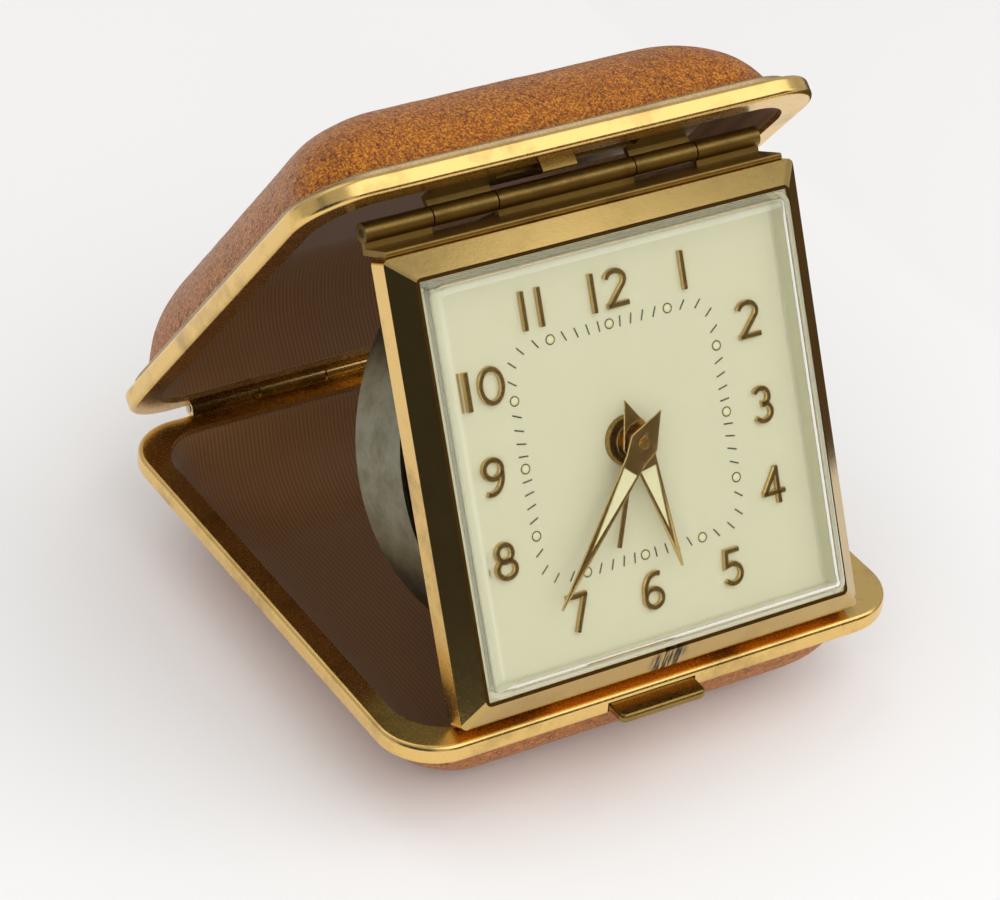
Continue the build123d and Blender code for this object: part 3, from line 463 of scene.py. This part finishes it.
def finishes(colours):
    """Every finish of the clock, by the record's slot name or the node that needs its own."""
    return {
        # Dyed pigskin on the shells: speckled tan with dark creases
        "leather": grained_leather(colours),
        # Pressed sheet steel of the pans: even grey with faint stains
        "pressed_steel": plated_steel("pressed_sheet_steel", colours.steel, colours.stain, 0.4, 0.4),
        # Ribbed cloth glued into the pans: fine brown stripes of painted highlight and painted shade, with broad
        # patches of painted lustre
        "lining_cloth": ribbed_cloth(colours),
        # Polished gilt brass of the rims: bright, with soft mirror images
        "gilt_brass": brass("polished_gilt_brass", colours.gilt, colours.tarnish, 0.16, 0.55),
        # Handled brass of the clock hinge and the keys: brown and dulled
        "worn_brass": brass("worn_brass", colours.worn, colours.tarnish, 0.3, 0.8),
        # Lacquered brass of the bezel: clear mirror images and one rubbed place
        "bezel": brass("lacquered_brass", colours.bezel, colours.tarnish, 0.07, 0.25, bezel_rub,
                       colours.bare),
        # Rubbed brass of the catch: brown, with some shine left
        "catch_button": brass("rubbed_brass", colours.worn, colours.tarnish, 0.2, 0.7),
        # Turned steel of arbors, pins and pillars: grey, with soft glints
        "steel": plated_steel("turned_steel", colours.steel, colours.stain, 0.28, 0.3),
        # Stamped brass of plates and wheels: yellow and satin
        "movement_brass": brass("stamped_brass", colours.gilt, colours.tarnish, 0.25, 0.4),
        # Plated steel of the drum: dull grey with brown stains
        "drum_steel": plated_steel("stained_plated_steel", colours.drum, colours.stain, 0.42, 0.8),
        # Moulded plastic of the movement ring: black and satin
        "black_ring": coating("moulded_black_plastic", colours.black, 0.45, 0.1),
        # Silvered paint of the dial: cream and almost even
        "dial_paint": coating("silvered_dial_paint", colours.paint, 0.42, 0.04),
        # Moulded acrylic of the crystal: clear, with glints along its shoulder
        "crystal": clear_acrylic(colours),
        # Gilt brass of hands and numerals: warm, with sharp glints
        "gilt_hand": brass("gilt_numeral_brass", colours.numeral, colours.tarnish, 0.13, 0.2),
        # Turned brass of the centre arbor: bright yellow
        "centre_arbor": brass("turned_brass", colours.gilt, colours.tarnish, 0.15, 0.3),
        # Dark gilt ring at the middle of the dial: brown, with a little shine
        "dial_boss": brass("dark_gilt_brass", colours.worn, colours.tarnish, 0.2, 0.5),
        # Rubbed brass of the striker: as on the catch
        "catch_striker": brass("rubbed_striker_brass", colours.worn, colours.tarnish, 0.2, 0.7),
        # Dull brass of the rim beads: pale, with no clear mirror images
        "bead": brass("dull_bead_brass", colours.bead, colours.tarnish, 0.3, 0.5),
        # Browned steel of the clock hinge's pin: dark, with few glints
        "clock_hinge_pin": plated_steel("browned_pin_steel", colours.stain, colours.black, 0.4, 0.7),
        # Pale band round the crystal, matt: painted light for the glow of light refracted through the crystal's
        # wall
        "halo": coating("painted_crystal_halo", colours.halo, 0.6, 0.05),
        # Printed ink of the minute marks: dark and matt
        "ink": coating("dial_ink", colours.ink, 0.5, 0.1),
        # Luminous paste of hands and dots: pale and chalky
        "paste": coating("luminous_paste", colours.paste, 0.75, 0.08),
    }


# Finishes by slot or node, which the first operator fills in
made = {}


class CLOCK_OT_finishes(Operator):
    """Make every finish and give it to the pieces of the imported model"""
    bl_idname = "travel_clock.finishes"
    bl_label = "Finish the metal and cloth"

    def execute(self, context):
        made.update(finishes(context.scene.clock_colours))
        for part in frame["record"]["subparts"]:
            name = part["node"]
            finish = made.get(name, made[part["material_slot"]])
            nodes[name].data.materials.clear()
            nodes[name].data.materials.append(finish)
        return {"FINISHED"}


# Shapes that several pieces share
def arc(x, y, across, tall, start, end, steps=14):
    """Points of an elliptical arc, with its angles in degrees."""
    turn = [math.radians(start + (end - start) * step / steps) for step in range(steps + 1)]
    return [(x + across * math.cos(angle), y + tall * math.sin(angle)) for angle in turn]


def stroke_mesh(name, strokes, width, rise, bevel):
    """Raised strokes of one width, with steep sides and a narrow bevel round a flat top."""
    same_place = 1e-6
    outline = bpy.data.curves.new(name + "_section", "CURVE")
    edge = outline.splines.new("POLY")
    corners = ((-width / 2, 0), (-width / 2, rise - bevel), (-width / 2 + bevel, rise),
               (width / 2 - bevel, rise), (width / 2, rise - bevel), (width / 2, 0))
    edge.points.add(len(corners) - 1)
    for point, (across, up) in zip(edge.points, corners):
        point.co = (across, up, 0, 1)
    edge.use_cyclic_u = True
    section = bpy.data.objects.new(name + "_section", outline)
    bpy.context.collection.objects.link(section)
    line = bpy.data.curves.new(name, "CURVE")
    line.dimensions = "2D"
    for stroke in strokes:
        closed = (Vector(stroke[0]) - Vector(stroke[-1])).length < same_place
        kept = stroke[:-1] if closed else stroke
        spline = line.splines.new("POLY")
        spline.points.add(len(kept) - 1)
        for point, (x, y) in zip(spline.points, kept):
            point.co = (x, y, 0, 1)
        spline.use_cyclic_u = closed
    line.bevel_mode = "OBJECT"
    line.bevel_object = section
    line.use_fill_caps = True
    piece = bpy.data.objects.new(name, line)
    bpy.context.collection.objects.link(piece)
    pick(piece)
    bpy.ops.object.convert(target="MESH")
    bpy.data.objects.remove(section)
    return bpy.context.view_layer.objects.active


def rounded_outline(width, depth, corner, gap_low, gap_high):
    """Points round a rectangle with rounded corners, with a gap in the side that has the largest y."""
    corner_steps = 8
    x, y = width / 2 - corner, depth / 2 - corner
    points = [(gap_high, depth / 2)]
    for middle_x, middle_y, start in ((x, y, 90), (x, -y, 0), (-x, -y, -90), (-x, y, -180)):
        points += arc(middle_x, middle_y, corner, corner, start, start - 90, corner_steps)
    return points + [(gap_low, depth / 2)]


def shell_profile(taper, radius, depth):
    """Steps of a shell from its rim to its crown, as inward and outward moves."""
    wall_shares = (0, 0.33, 0.66, 1)
    arc_steps = 9
    level = depth - radius
    wall_top = level + radius * math.sin(taper)
    middle = wall_top * math.tan(taper) + radius * math.cos(taper)
    points = [(wall_top * share * math.tan(taper), wall_top * share) for share in wall_shares]
    for step in range(1, arc_steps + 1):
        angle = taper + (math.pi / 2 - taper) * step / arc_steps
        points.append((middle - radius * math.cos(angle), level + radius * math.sin(angle)))
    return [(b[0] - a[0], b[1] - a[1]) for a, b in zip(points, points[1:])]


def raised_shell(name, width, depth, corner, steps):
    """Open shell that is raised ring by ring from a plate with rounded corners."""
    corner_steps = 8
    side_cuts = 17
    # Edges longer than this are the straight sides
    straight = 10 * MM
    # Each ring of the flat crown as a share of the ring before it
    crown_shares = (0.85, 0.8, 0.75, 0.66, 0.5, 0.3)
    deselect()
    bpy.ops.mesh.primitive_plane_add(size=1)
    piece = bpy.context.object
    rename(piece, name)
    piece.data.transform(Matrix.Diagonal((width, depth, 1, 1)))
    bpy.ops.object.mode_set(mode="EDIT")
    bpy.ops.mesh.select_all(action="SELECT")
    bpy.ops.mesh.bevel(offset=corner, offset_type="OFFSET", segments=corner_steps, affect="VERTICES")
    bpy.ops.object.mode_set(mode="OBJECT")
    for edge in piece.data.edges:
        ends = [piece.data.vertices[index].co for index in edge.vertices]
        edge.select = (ends[0] - ends[1]).length > straight
    for part in (piece.data.vertices, piece.data.polygons):
        part.foreach_set("select", [False] * len(part))
    bpy.ops.object.mode_set(mode="EDIT")
    bpy.ops.mesh.select_mode(type="EDGE")
    bpy.ops.mesh.subdivide(number_cuts=side_cuts)
    bpy.ops.mesh.select_mode(type="FACE")
    bpy.ops.mesh.select_all(action="SELECT")
    for inward, outward in steps:
        bpy.ops.mesh.inset(thickness=0, depth=outward)
        shrink = (1 - 2 * inward / width, 1 - 2 * inward / depth, 1)
        bpy.ops.transform.resize(value=shrink, center_override=(0, 0, 0))
        width -= 2 * inward
        depth -= 2 * inward
    for share in crown_shares:
        bpy.ops.mesh.inset(thickness=0, depth=0)
        bpy.ops.transform.resize(value=(share, share, 1), center_override=(0, 0, 0))
    bpy.ops.mesh.select_all(action="DESELECT")
    bpy.ops.object.mode_set(mode="OBJECT")
    return piece


def thicken(piece, thickness, swell=0.0, swell_width=1.0):
    """Smooth an open shell, let it swell inwards a little and give it a wall."""
    smooth_levels = 2
    smooth = piece.modifiers.new("smooth", "SUBSURF")
    smooth.levels = smooth_levels
    smooth.render_levels = smooth_levels
    if swell:
        cloud = bpy.data.textures.new(piece.name + "_swell", "CLOUDS")
        cloud.noise_scale = swell_width
        soft = piece.modifiers.new("swell", "DISPLACE")
        soft.texture = cloud
        soft.strength = swell
        soft.mid_level = 1.0
    wall = piece.modifiers.new("wall", "SOLIDIFY")
    wall.thickness = thickness
    wall.offset = -1
    for modifier in [modifier.name for modifier in piece.modifiers]:
        bpy.ops.object.modifier_apply(modifier=modifier)


def rounded_copy(node, name, edge):
    """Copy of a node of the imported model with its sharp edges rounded."""
    same_place = 0.001 * MM
    flat = math.radians(1)
    sharp = math.radians(40)
    piece = bpy.data.objects.new(name, nodes[node].data.copy())
    piece.data.name = name
    bpy.context.collection.objects.link(piece)
    pick(piece)
    bpy.ops.object.mode_set(mode="EDIT")
    bpy.ops.mesh.select_all(action="SELECT")
    bpy.ops.mesh.remove_doubles(threshold=same_place)
    bpy.ops.mesh.dissolve_limited(angle_limit=flat)
    bpy.ops.object.mode_set(mode="OBJECT")
    soft = piece.modifiers.new("edge", "BEVEL")
    soft.width = edge
    soft.segments = EDGE_SEGMENTS
    soft.limit_method = "ANGLE"
    soft.angle_limit = sharp
    bpy.ops.object.modifier_apply(modifier="edge")
    settle(piece, Matrix.Identity(4))
    return piece


# Case
class CLOCK_OT_leather(Operator):
    """Model the leather skins of the base and the lid"""
    bl_idname = "travel_clock.leather"
    bl_label = "Cover the shells with leather"

    def execute(self, context):
        sizes = context.scene.clock_sizes
        low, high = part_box("base_leather")
        lip = Matrix.Translation((0, 0, mating_height - high[2]))
        steps = shell_profile(sizes.leather_draft, sizes.leather_shoulder, high[2] - low[2])
        for body, matrix in (("base", base_frame), ("lid", lid_frame)):
            piece = raised_shell(body + "_leather_skin", high[0] - low[0], high[1] - low[1],
                                 sizes.leather_corner, steps)
            thicken(piece, sizes.leather_thickness, sizes.leather_swell, sizes.leather_swell_width)
            settle(piece, matrix @ lip)
            dress(piece, made["leather"], body)
            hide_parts(body + "_leather")
        return {"FINISHED"}


class CLOCK_OT_rim_bead(Operator):
    """Model the dull bead that holds the leather along each rim, open where the catch comes out"""
    bl_idname = "travel_clock.rim_bead"
    bl_label = "Lay the rim beads"

    def execute(self, context):
        sizes = context.scene.clock_sizes
        low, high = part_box("base_leather")
        wide, rise = sizes.bead_width, sizes.bead_rise
        rounding = 0.3 * wide
        ledge = Matrix.Translation((0, 0, mating_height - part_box("base_rim")[0][2]))
        catch_low, catch_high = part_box("catch_button")
        slot = (catch_low[0] - wide, catch_high[0] + wide)
        for body, matrix, gap in (("base", base_frame, slot), ("lid", lid_frame, (0, 0))):
            outline = rounded_outline(high[0] - low[0] + wide, high[1] - low[1] + wide,
                                      sizes.leather_corner + wide / 2, gap[0], gap[1])
            piece = stroke_mesh(body + "_rim_bead", [outline], wide, rise, rounding)
            settle(piece, matrix @ ledge)
            dress(piece, made["bead"], body)
        return {"FINISHED"}


class CLOCK_OT_catch(Operator):
    """Model the catch button with rounded edges"""
    bl_idname = "travel_clock.catch"
    bl_label = "Shape the catch"

    def execute(self, context):
        piece = rounded_copy("catch_button", "catch_button_bar", context.scene.clock_sizes.catch_edge)
        dress(piece, made["catch_button"], "catch")
        # Kept out of the mirror of the bezel
        piece.visible_glossy = False
        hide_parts("catch_button")
        return {"FINISHED"}


# Dial
# Strokes of the numerals on a body one unit tall, as lists of points from end to end
DIGITS = {
    "0": [arc(0, 0, 0.31, 0.43, 90, 450, 28)],
    "1": [[(0, 0.5), (0, -0.5)]],
    "2": [arc(0, 0.2, 0.27, 0.23, 165, -35) + [(-0.25, -0.45)], [(-0.31, -0.43), (0.32, -0.43)]],
    "3": [arc(0, 0.21, 0.22, 0.22, 150, -95), arc(0, -0.2, 0.25, 0.23, 95, -150)],
    "4": [[(0.12, -0.5), (0.12, 0.48)], [(0.14, 0.45), (-0.3, -0.2)], [(-0.35, -0.2), (0.32, -0.2)]],
    "5": [[(0.24, 0.43), (-0.15, 0.43), (-0.19, 0.05)] + arc(-0.02, -0.17, 0.26, 0.26, 118, -145)],
    "6": [arc(0.12, -0.06, 0.36, 0.49, 70, 172) + arc(0, -0.19, 0.25, 0.24, 160, 520, 26)],
    "7": [[(-0.3, 0.43), (0.3, 0.43)], [(0.26, 0.45), (-0.1, -0.5)]],
    "8": [arc(0, 0.21, 0.21, 0.22, -90, 270, 24), arc(0, -0.2, 0.26, 0.23, 90, 450, 26)],
    "9": [arc(-0.12, 0.06, 0.36, 0.49, 250, 352) + arc(0, 0.19, 0.25, 0.24, -20, 340, 26)],
}
# Room that a digit takes up in a row
DIGIT_STEP = {"1": 0.48}
DIGIT_WIDE = 0.86


def on_dial(x, y, height=0.0):
    """Place on the face of the dial, at a height off it."""
    return head_frame @ Matrix.Translation((x, y, dial_face + height))


# Middles of the numerals on the square that they stand on, as shares of its half width
NUMERAL_PLACES = {
    "12": (0.015, 0.966), "1": (0.575, 0.967), "2": (1.0, 0.55), "3": (1.01, -0.015), "4": (1.005, -0.545),
    "5": (0.61, -0.99), "6": (0.005, -0.986), "7": (-0.55, -0.978), "8": (-1.0, -0.527), "9": (-0.987, 0.012),
    "10": (-0.962, 0.569), "11": (-0.538, 0.97),
}


class CLOCK_OT_numerals(Operator):
    """Model the raised numerals of the dial"""
    bl_idname = "travel_clock.numerals"
    bl_label = "Raise the numerals"

    def execute(self, context):
        sizes = context.scene.clock_sizes
        tall = sizes.numeral_height
        for label, (x, y) in NUMERAL_PLACES.items():
            steps = [DIGIT_STEP.get(digit, DIGIT_WIDE) for digit in label]
            left = -sum(steps) / 2
            strokes = []
            for digit, step in zip(label, steps):
                shift = left + step / 2
                strokes += [[((px + shift) * tall, py * tall) for px, py in line] for line in DIGITS[digit]]
                left += step
            piece = stroke_mesh("numeral_" + label, strokes, sizes.numeral_stroke, sizes.numeral_rise,
                                sizes.numeral_edge)
            settle(piece, on_dial(x * sizes.numeral_ring, y * sizes.numeral_ring))
            dress(piece, made["gilt_hand"], "clock_head")
        return {"FINISHED"}


def track_place(degrees, half):
    """Place on the rounded square of the minute track, clockwise from twelve."""
    angle = math.radians(degrees)
    x, y = math.sin(angle), math.cos(angle)
    squareness = 10.0
    reach = half / (abs(x) ** squareness + abs(y) ** squareness) ** (1 / squareness)
    return x * reach, y * reach


class CLOCK_OT_minute_track(Operator):
    """Model the printed minute marks and the luminous hour dots"""
    bl_idname = "travel_clock.minute_track"
    bl_label = "Print the minute track"

    def execute(self, context):
        sizes = context.scene.clock_sizes
        outer = sizes.dot_radius + sizes.dot_ring
        outline_sides = 28
        dot_sides = 24
        dot_rings = 10
        flattened = Matrix.Diagonal((1, 1, 0.3, 1))
        marks, rings, dots = [], [], []
        for minute in range(60):
            degrees = minute * 6
            x, y = track_place(degrees, sizes.track_half)
            deselect()
            if minute % 5:
                bpy.ops.mesh.primitive_cube_add(size=1)
                mark = bpy.context.object
                scale = Matrix.Diagonal((sizes.tick_width, sizes.tick_length, sizes.print_rise, 1))
                turn = Matrix.Rotation(-math.radians(degrees), 4, "Z")
                mark.data.transform(on_dial(x, y, sizes.print_rise / 2) @ turn @ scale)
                marks.append(mark)
                continue
            bpy.ops.mesh.primitive_cylinder_add(vertices=outline_sides, radius=outer, depth=sizes.print_rise)
            ring = bpy.context.object
            ring.data.transform(on_dial(x, y, sizes.print_rise / 2))
            rings.append(ring)
            deselect()
            bpy.ops.mesh.primitive_uv_sphere_add(segments=dot_sides, ring_count=dot_rings,
                                                 radius=sizes.dot_radius)
            dot = bpy.context.object
            dot.data.transform(on_dial(x, y, sizes.print_rise) @ flattened)
            dots.append(dot)
        groups = ((marks, "minute_marks", "ink"), (rings, "hour_dot_outlines", "ink"),
                  (dots, "hour_dots", "paste"))
        for pieces, name, finish in groups:
            piece = join(pieces, name)
            settle(piece, Matrix.Identity(4))
            dress(piece, made[finish], "clock_head")
        return {"FINISHED"}


# Crystal
def head_box(node):
    """Lowest and highest corners of a node along the dial's side, up and outward directions."""
    turned = head_frame.inverted()
    places = [turned @ vertex.co for vertex in nodes[node].data.vertices]
    low = Vector([min(place[axis] for place in places) for axis in range(3)])
    high = Vector([max(place[axis] for place in places) for axis in range(3)])
    return low, high


class CLOCK_OT_crystal(Operator):
    """Model the moulded crystal with its soft shoulder"""
    bl_idname = "travel_clock.crystal"
    bl_label = "Mould the crystal"

    def execute(self, context):
        sizes = context.scene.clock_sizes
        low, high = head_box("crystal")
        middle = (low + high) / 2
        steps = shell_profile(0.0, sizes.crystal_shoulder, high.z - low.z)
        piece = raised_shell("crystal_dome", high.x - low.x, high.y - low.y, sizes.crystal_corner, steps)
        thicken(piece, sizes.crystal_thickness)
        settle(piece, head_frame @ Matrix.Translation((middle.x, middle.y, low.z)))
        dress(piece, made["crystal"], "clock_head")
        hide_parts("crystal")
        return {"FINISHED"}


class CLOCK_OT_crystal_halo(Operator):
    """Model a pale band between the crystal and the bezel: painted light that stands in for the glow of light
    refracted through the crystal's wall
    """
    bl_idname = "travel_clock.crystal_seal"
    bl_label = "Seal the crystal"

    def execute(self, context):
        sizes = context.scene.clock_sizes
        low, high = head_box("crystal")
        top = head_box("bezel")[1].z - sizes.halo_drop
        room = 2 * (sizes.halo_gap + sizes.halo_thickness)
        middle = (low + high) / 2
        deselect()
        bpy.ops.mesh.primitive_plane_add(size=1)
        piece = context.object
        rename(piece, "crystal_seal")
        spread = Matrix.Diagonal((high.x - low.x + room, high.y - low.y + room, 1, 1))
        piece.data.transform(Matrix.Translation((middle.x, middle.y, low.z)) @ spread)
        bpy.ops.object.mode_set(mode="EDIT")
        bpy.ops.mesh.select_all(action="SELECT")
        bpy.ops.mesh.inset(thickness=sizes.halo_thickness, depth=0)
        bpy.ops.mesh.delete(type="FACE")
        bpy.ops.mesh.select_all(action="SELECT")
        bpy.ops.mesh.extrude_region_move(TRANSFORM_OT_translate={"value": (0, 0, top - low.z)})
        bpy.ops.object.mode_set(mode="OBJECT")
        settle(piece, head_frame)
        dress(piece, made["halo"], "clock_head")
        return {"FINISHED"}


# Hands
def hand_frame(node):
    """Frame of a hand: first axis across it, second axis to its tip, third axis off the dial."""
    reach = [vertex.co - dial_centre for vertex in nodes[node].data.vertices]
    tip = max(reach, key=lambda place: (place - head_out * place.dot(head_out)).length)
    along = (tip - head_out * tip.dot(head_out)).normalized()
    across = along.cross(head_out)
    top = max(place.dot(head_out) for place in reach)
    bottom = min(place.dot(head_out) for place in reach)
    matrix = Matrix((across, along, head_out)).transposed().to_4x4()
    matrix.translation = dial_centre + head_out * bottom
    return matrix, top - bottom


class CLOCK_OT_hands(Operator):
    """Model the gilt hands with rounded edges"""
    bl_idname = "travel_clock.hands"
    bl_label = "Shape the hands"

    def execute(self, context):
        edge = context.scene.clock_sizes.hand_edge
        for node, body in (("minute_hand", "minute_works"), ("hour_hand", "hour_works")):
            piece = rounded_copy(node, node + "_leaf", edge)
            dress(piece, made["gilt_hand"], body)
            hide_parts(node)
        return {"FINISHED"}


class CLOCK_OT_hand_paste(Operator):
    """Fill the windows of the hands with luminous paste"""
    bl_idname = "travel_clock.hand_paste"
    bl_label = "Fill the hands"

    def execute(self, context):
        sizes = context.scene.clock_sizes
        point_gap = 4 * sizes.paste_gap
        rows = (("minute_hand", "minute_works", sizes.minute_window_start, sizes.minute_window_end,
                 sizes.minute_window_width),
                ("hour_hand", "hour_works", sizes.hour_window_start, sizes.hour_window_end,
                 sizes.hour_window_width))
        for node, body, start, end, width in rows:
            matrix, thickness = hand_frame(node)
            underside = 0.15 * thickness
            filling = 0.7 * thickness
            rounding = 0.2 * thickness
            deselect()
            bpy.ops.mesh.primitive_plane_add(size=1)
            piece = bpy.context.object
            rename(piece, node + "_paste")
            near = start + sizes.paste_gap
            half = width / 2 - sizes.paste_gap
            far = end - point_gap
            tip = half * (1 - (far - start) / (end - start))
            corners = ((-half, near), (half, near), (-tip, far), (tip, far))
            for vertex, (x, y) in zip(piece.data.vertices, corners):
                vertex.co = (x, y, underside)
            bpy.ops.object.mode_set(mode="EDIT")
            bpy.ops.mesh.select_all(action="SELECT")
            bpy.ops.mesh.extrude_region_move(TRANSFORM_OT_translate={"value": (0, 0, filling)})
            bpy.ops.object.mode_set(mode="OBJECT")
            edge = piece.modifiers.new("edge", "BEVEL")
            edge.width = rounding
            edge.segments = EDGE_SEGMENTS
            bpy.ops.object.modifier_apply(modifier="edge")
            settle(piece, matrix)
            dress(piece, made["paste"], body)
        return {"FINISHED"}


# Stage
def stage_material(name, code):
    """Plain material of one colour for the floor and the screens."""
    material = bpy.data.materials.new(name)
    material.use_nodes = True
    shader = material.node_tree.nodes["Principled BSDF"]
    shader.inputs["Base Color"].default_value = linear(code)
    return material, shader


def lay_floor(stage, colours):
    """Plain pale floor."""
    deselect()
    bpy.ops.mesh.primitive_plane_add(size=stage.floor_size)
    floor = bpy.context.object
    floor.name = "floor"
    material, shader = stage_material("pale_floor", colours.floor)
    shader.inputs["Roughness"].default_value = stage.floor_roughness
    floor.data.materials.append(material)


def hang_screens(stage, colours):
    """Sides of the room that show only in mirror images, one of them also through the crystal."""
    aim = Vector(stage.lamp_aim)
    above = Vector(stage.table) + Vector((0, 0, 1))
    screens = (
        ("dark_screen", stage.left_screen, stage.left_screen_size, colours.screen, aim, False),
        ("brown_screen", stage.front_screen, stage.front_screen_size, colours.screen_brown, aim, True),
        ("brown_table", stage.table, stage.table_size, colours.screen_brown, above, False),
    )
    for name, place, size, code, towards, through_glass in screens:
        bpy.ops.mesh.primitive_plane_add(size=size)
        screen = bpy.context.object
        screen.name = name
        material, shader = stage_material(name, code)
        shader.inputs["Specular IOR Level"].default_value = 0.0
        screen.data.materials.append(material)
        screen.location = place
        screen.rotation_euler = (towards - Vector(place)).to_track_quat("Z", "Y").to_euler()
        screen.visible_camera = False
        screen.visible_diffuse = False
        screen.visible_shadow = False
        screen.visible_transmission = through_glass


def hang_lamps(stage):
    """Front, fill and overhead lights; the fill shows in no mirror image."""
    lamps = (
        ("key", stage.key_place, stage.key_size, stage.key_power, True),
        ("fill", stage.fill_place, stage.fill_size, stage.fill_power, False),
        ("top", stage.top_place, stage.top_size, stage.top_power, True),
    )
    for name, place, size, power, mirrored in lamps:
        bpy.ops.object.light_add(type="AREA", location=place)
        lamp = bpy.context.object
        lamp.name = name
        lamp.data.size = size
        lamp.data.energy = power
        lamp.visible_glossy = mirrored
        lamp.rotation_euler = (Vector(stage.lamp_aim) - Vector(place)).to_track_quat("-Z", "Y").to_euler()


def light_room(scene, stage):
    """White room, dimmer in mirror images; what shows through the crystal keeps the full level."""
    world = scene.world or bpy.data.worlds.new("room")
    scene.world = world
    world.use_nodes = True
    tree = world.node_tree
    ray = add_node(tree, "ShaderNodeLightPath")
    mirrored = add_node(tree, "ShaderNodeMath", (), {0: ray.outputs["Is Glossy Ray"],
                        1: ray.outputs["Is Transmission Ray"]}, operation="SUBTRACT", use_clamp=True)
    level = add_node(tree, "ShaderNodeMapRange", {"To Min": stage.world_level, "To Max": stage.mirror_level},
                     {"Value": mirrored.outputs[0]})
    plug(tree, tree.nodes["Background"], {"Color": (1, 1, 1, 1)}, {"Strength": level.outputs[0]})


def set_camera(scene, stage):
    """Camera that was fitted to the photograph."""
    place = Vector(stage.camera_place)
    view = (Vector(stage.camera_aim) - place).to_track_quat("-Z", "Y")
    bpy.ops.object.camera_add(location=place)
    camera = bpy.context.object
    camera.rotation_mode = "QUATERNION"
    camera.rotation_quaternion = view @ Quaternion((0, 0, 1), stage.camera_roll)
    camera.data.lens = stage.camera_lens
    camera.data.sensor_width = stage.camera_sensor
    camera.data.sensor_fit = "HORIZONTAL"
    camera.data.clip_start = stage.camera_near
    scene.camera = camera
    scene.view_settings.view_transform = "Standard"


class CLOCK_OT_stage(Operator):
    """Lay the floor, hang the lights and set the camera"""
    bl_idname = "travel_clock.stage"
    bl_label = "Set the stage"

    def execute(self, context):
        scene = context.scene
        lay_floor(scene.clock_stage, scene.clock_colours)
        hang_screens(scene.clock_stage, scene.clock_colours)
        hang_lamps(scene.clock_stage)
        light_room(scene, scene.clock_stage)
        set_camera(scene, scene.clock_stage)
        return {"FINISHED"}


# Panel and registration
class CLOCK_PT_panel(Panel):
    """Operators that dress the clock, in the order they run"""
    bl_idname = "CLOCK_PT_panel"
    bl_label = "Travel clock"
    bl_space_type = "VIEW_3D"
    bl_region_type = "UI"
    bl_category = "Travel clock"

    def draw(self, context):
        for operator in OPERATORS:
            self.layout.operator(operator.bl_idname)


OPERATORS = (CLOCK_OT_finishes, CLOCK_OT_leather, CLOCK_OT_rim_bead, CLOCK_OT_catch,
             CLOCK_OT_numerals, CLOCK_OT_minute_track, CLOCK_OT_crystal, CLOCK_OT_crystal_halo,
             CLOCK_OT_hands, CLOCK_OT_hand_paste, CLOCK_OT_stage)
CLASSES = (ClockSizes, ClockColours, ClockStage) + OPERATORS + (CLOCK_PT_panel,)


def register():
    """Register the classes and hang the settings on the scene."""
    for item in CLASSES:
        bpy.utils.register_class(item)
    bpy.types.Scene.clock_sizes = PointerProperty(type=ClockSizes)
    bpy.types.Scene.clock_colours = PointerProperty(type=ClockColours)
    bpy.types.Scene.clock_stage = PointerProperty(type=ClockStage)


def unregister():
    """Take the settings off the scene and unregister the classes."""
    del bpy.types.Scene.clock_stage
    del bpy.types.Scene.clock_colours
    del bpy.types.Scene.clock_sizes
    for item in reversed(CLASSES):
        bpy.utils.unregister_class(item)


def main():
    """Dress the clock."""
    register()
    bpy.ops.travel_clock.finishes()
    bpy.ops.travel_clock.leather()
    bpy.ops.travel_clock.rim_bead()
    bpy.ops.travel_clock.catch()
    bpy.ops.travel_clock.numerals()
    bpy.ops.travel_clock.minute_track()
    bpy.ops.travel_clock.crystal()
    bpy.ops.travel_clock.crystal_seal()
    bpy.ops.travel_clock.hands()
    bpy.ops.travel_clock.hand_paste()
    bpy.ops.travel_clock.stage()
    bpy.context.view_layer.update()


if __name__ == "__main__":
    main()
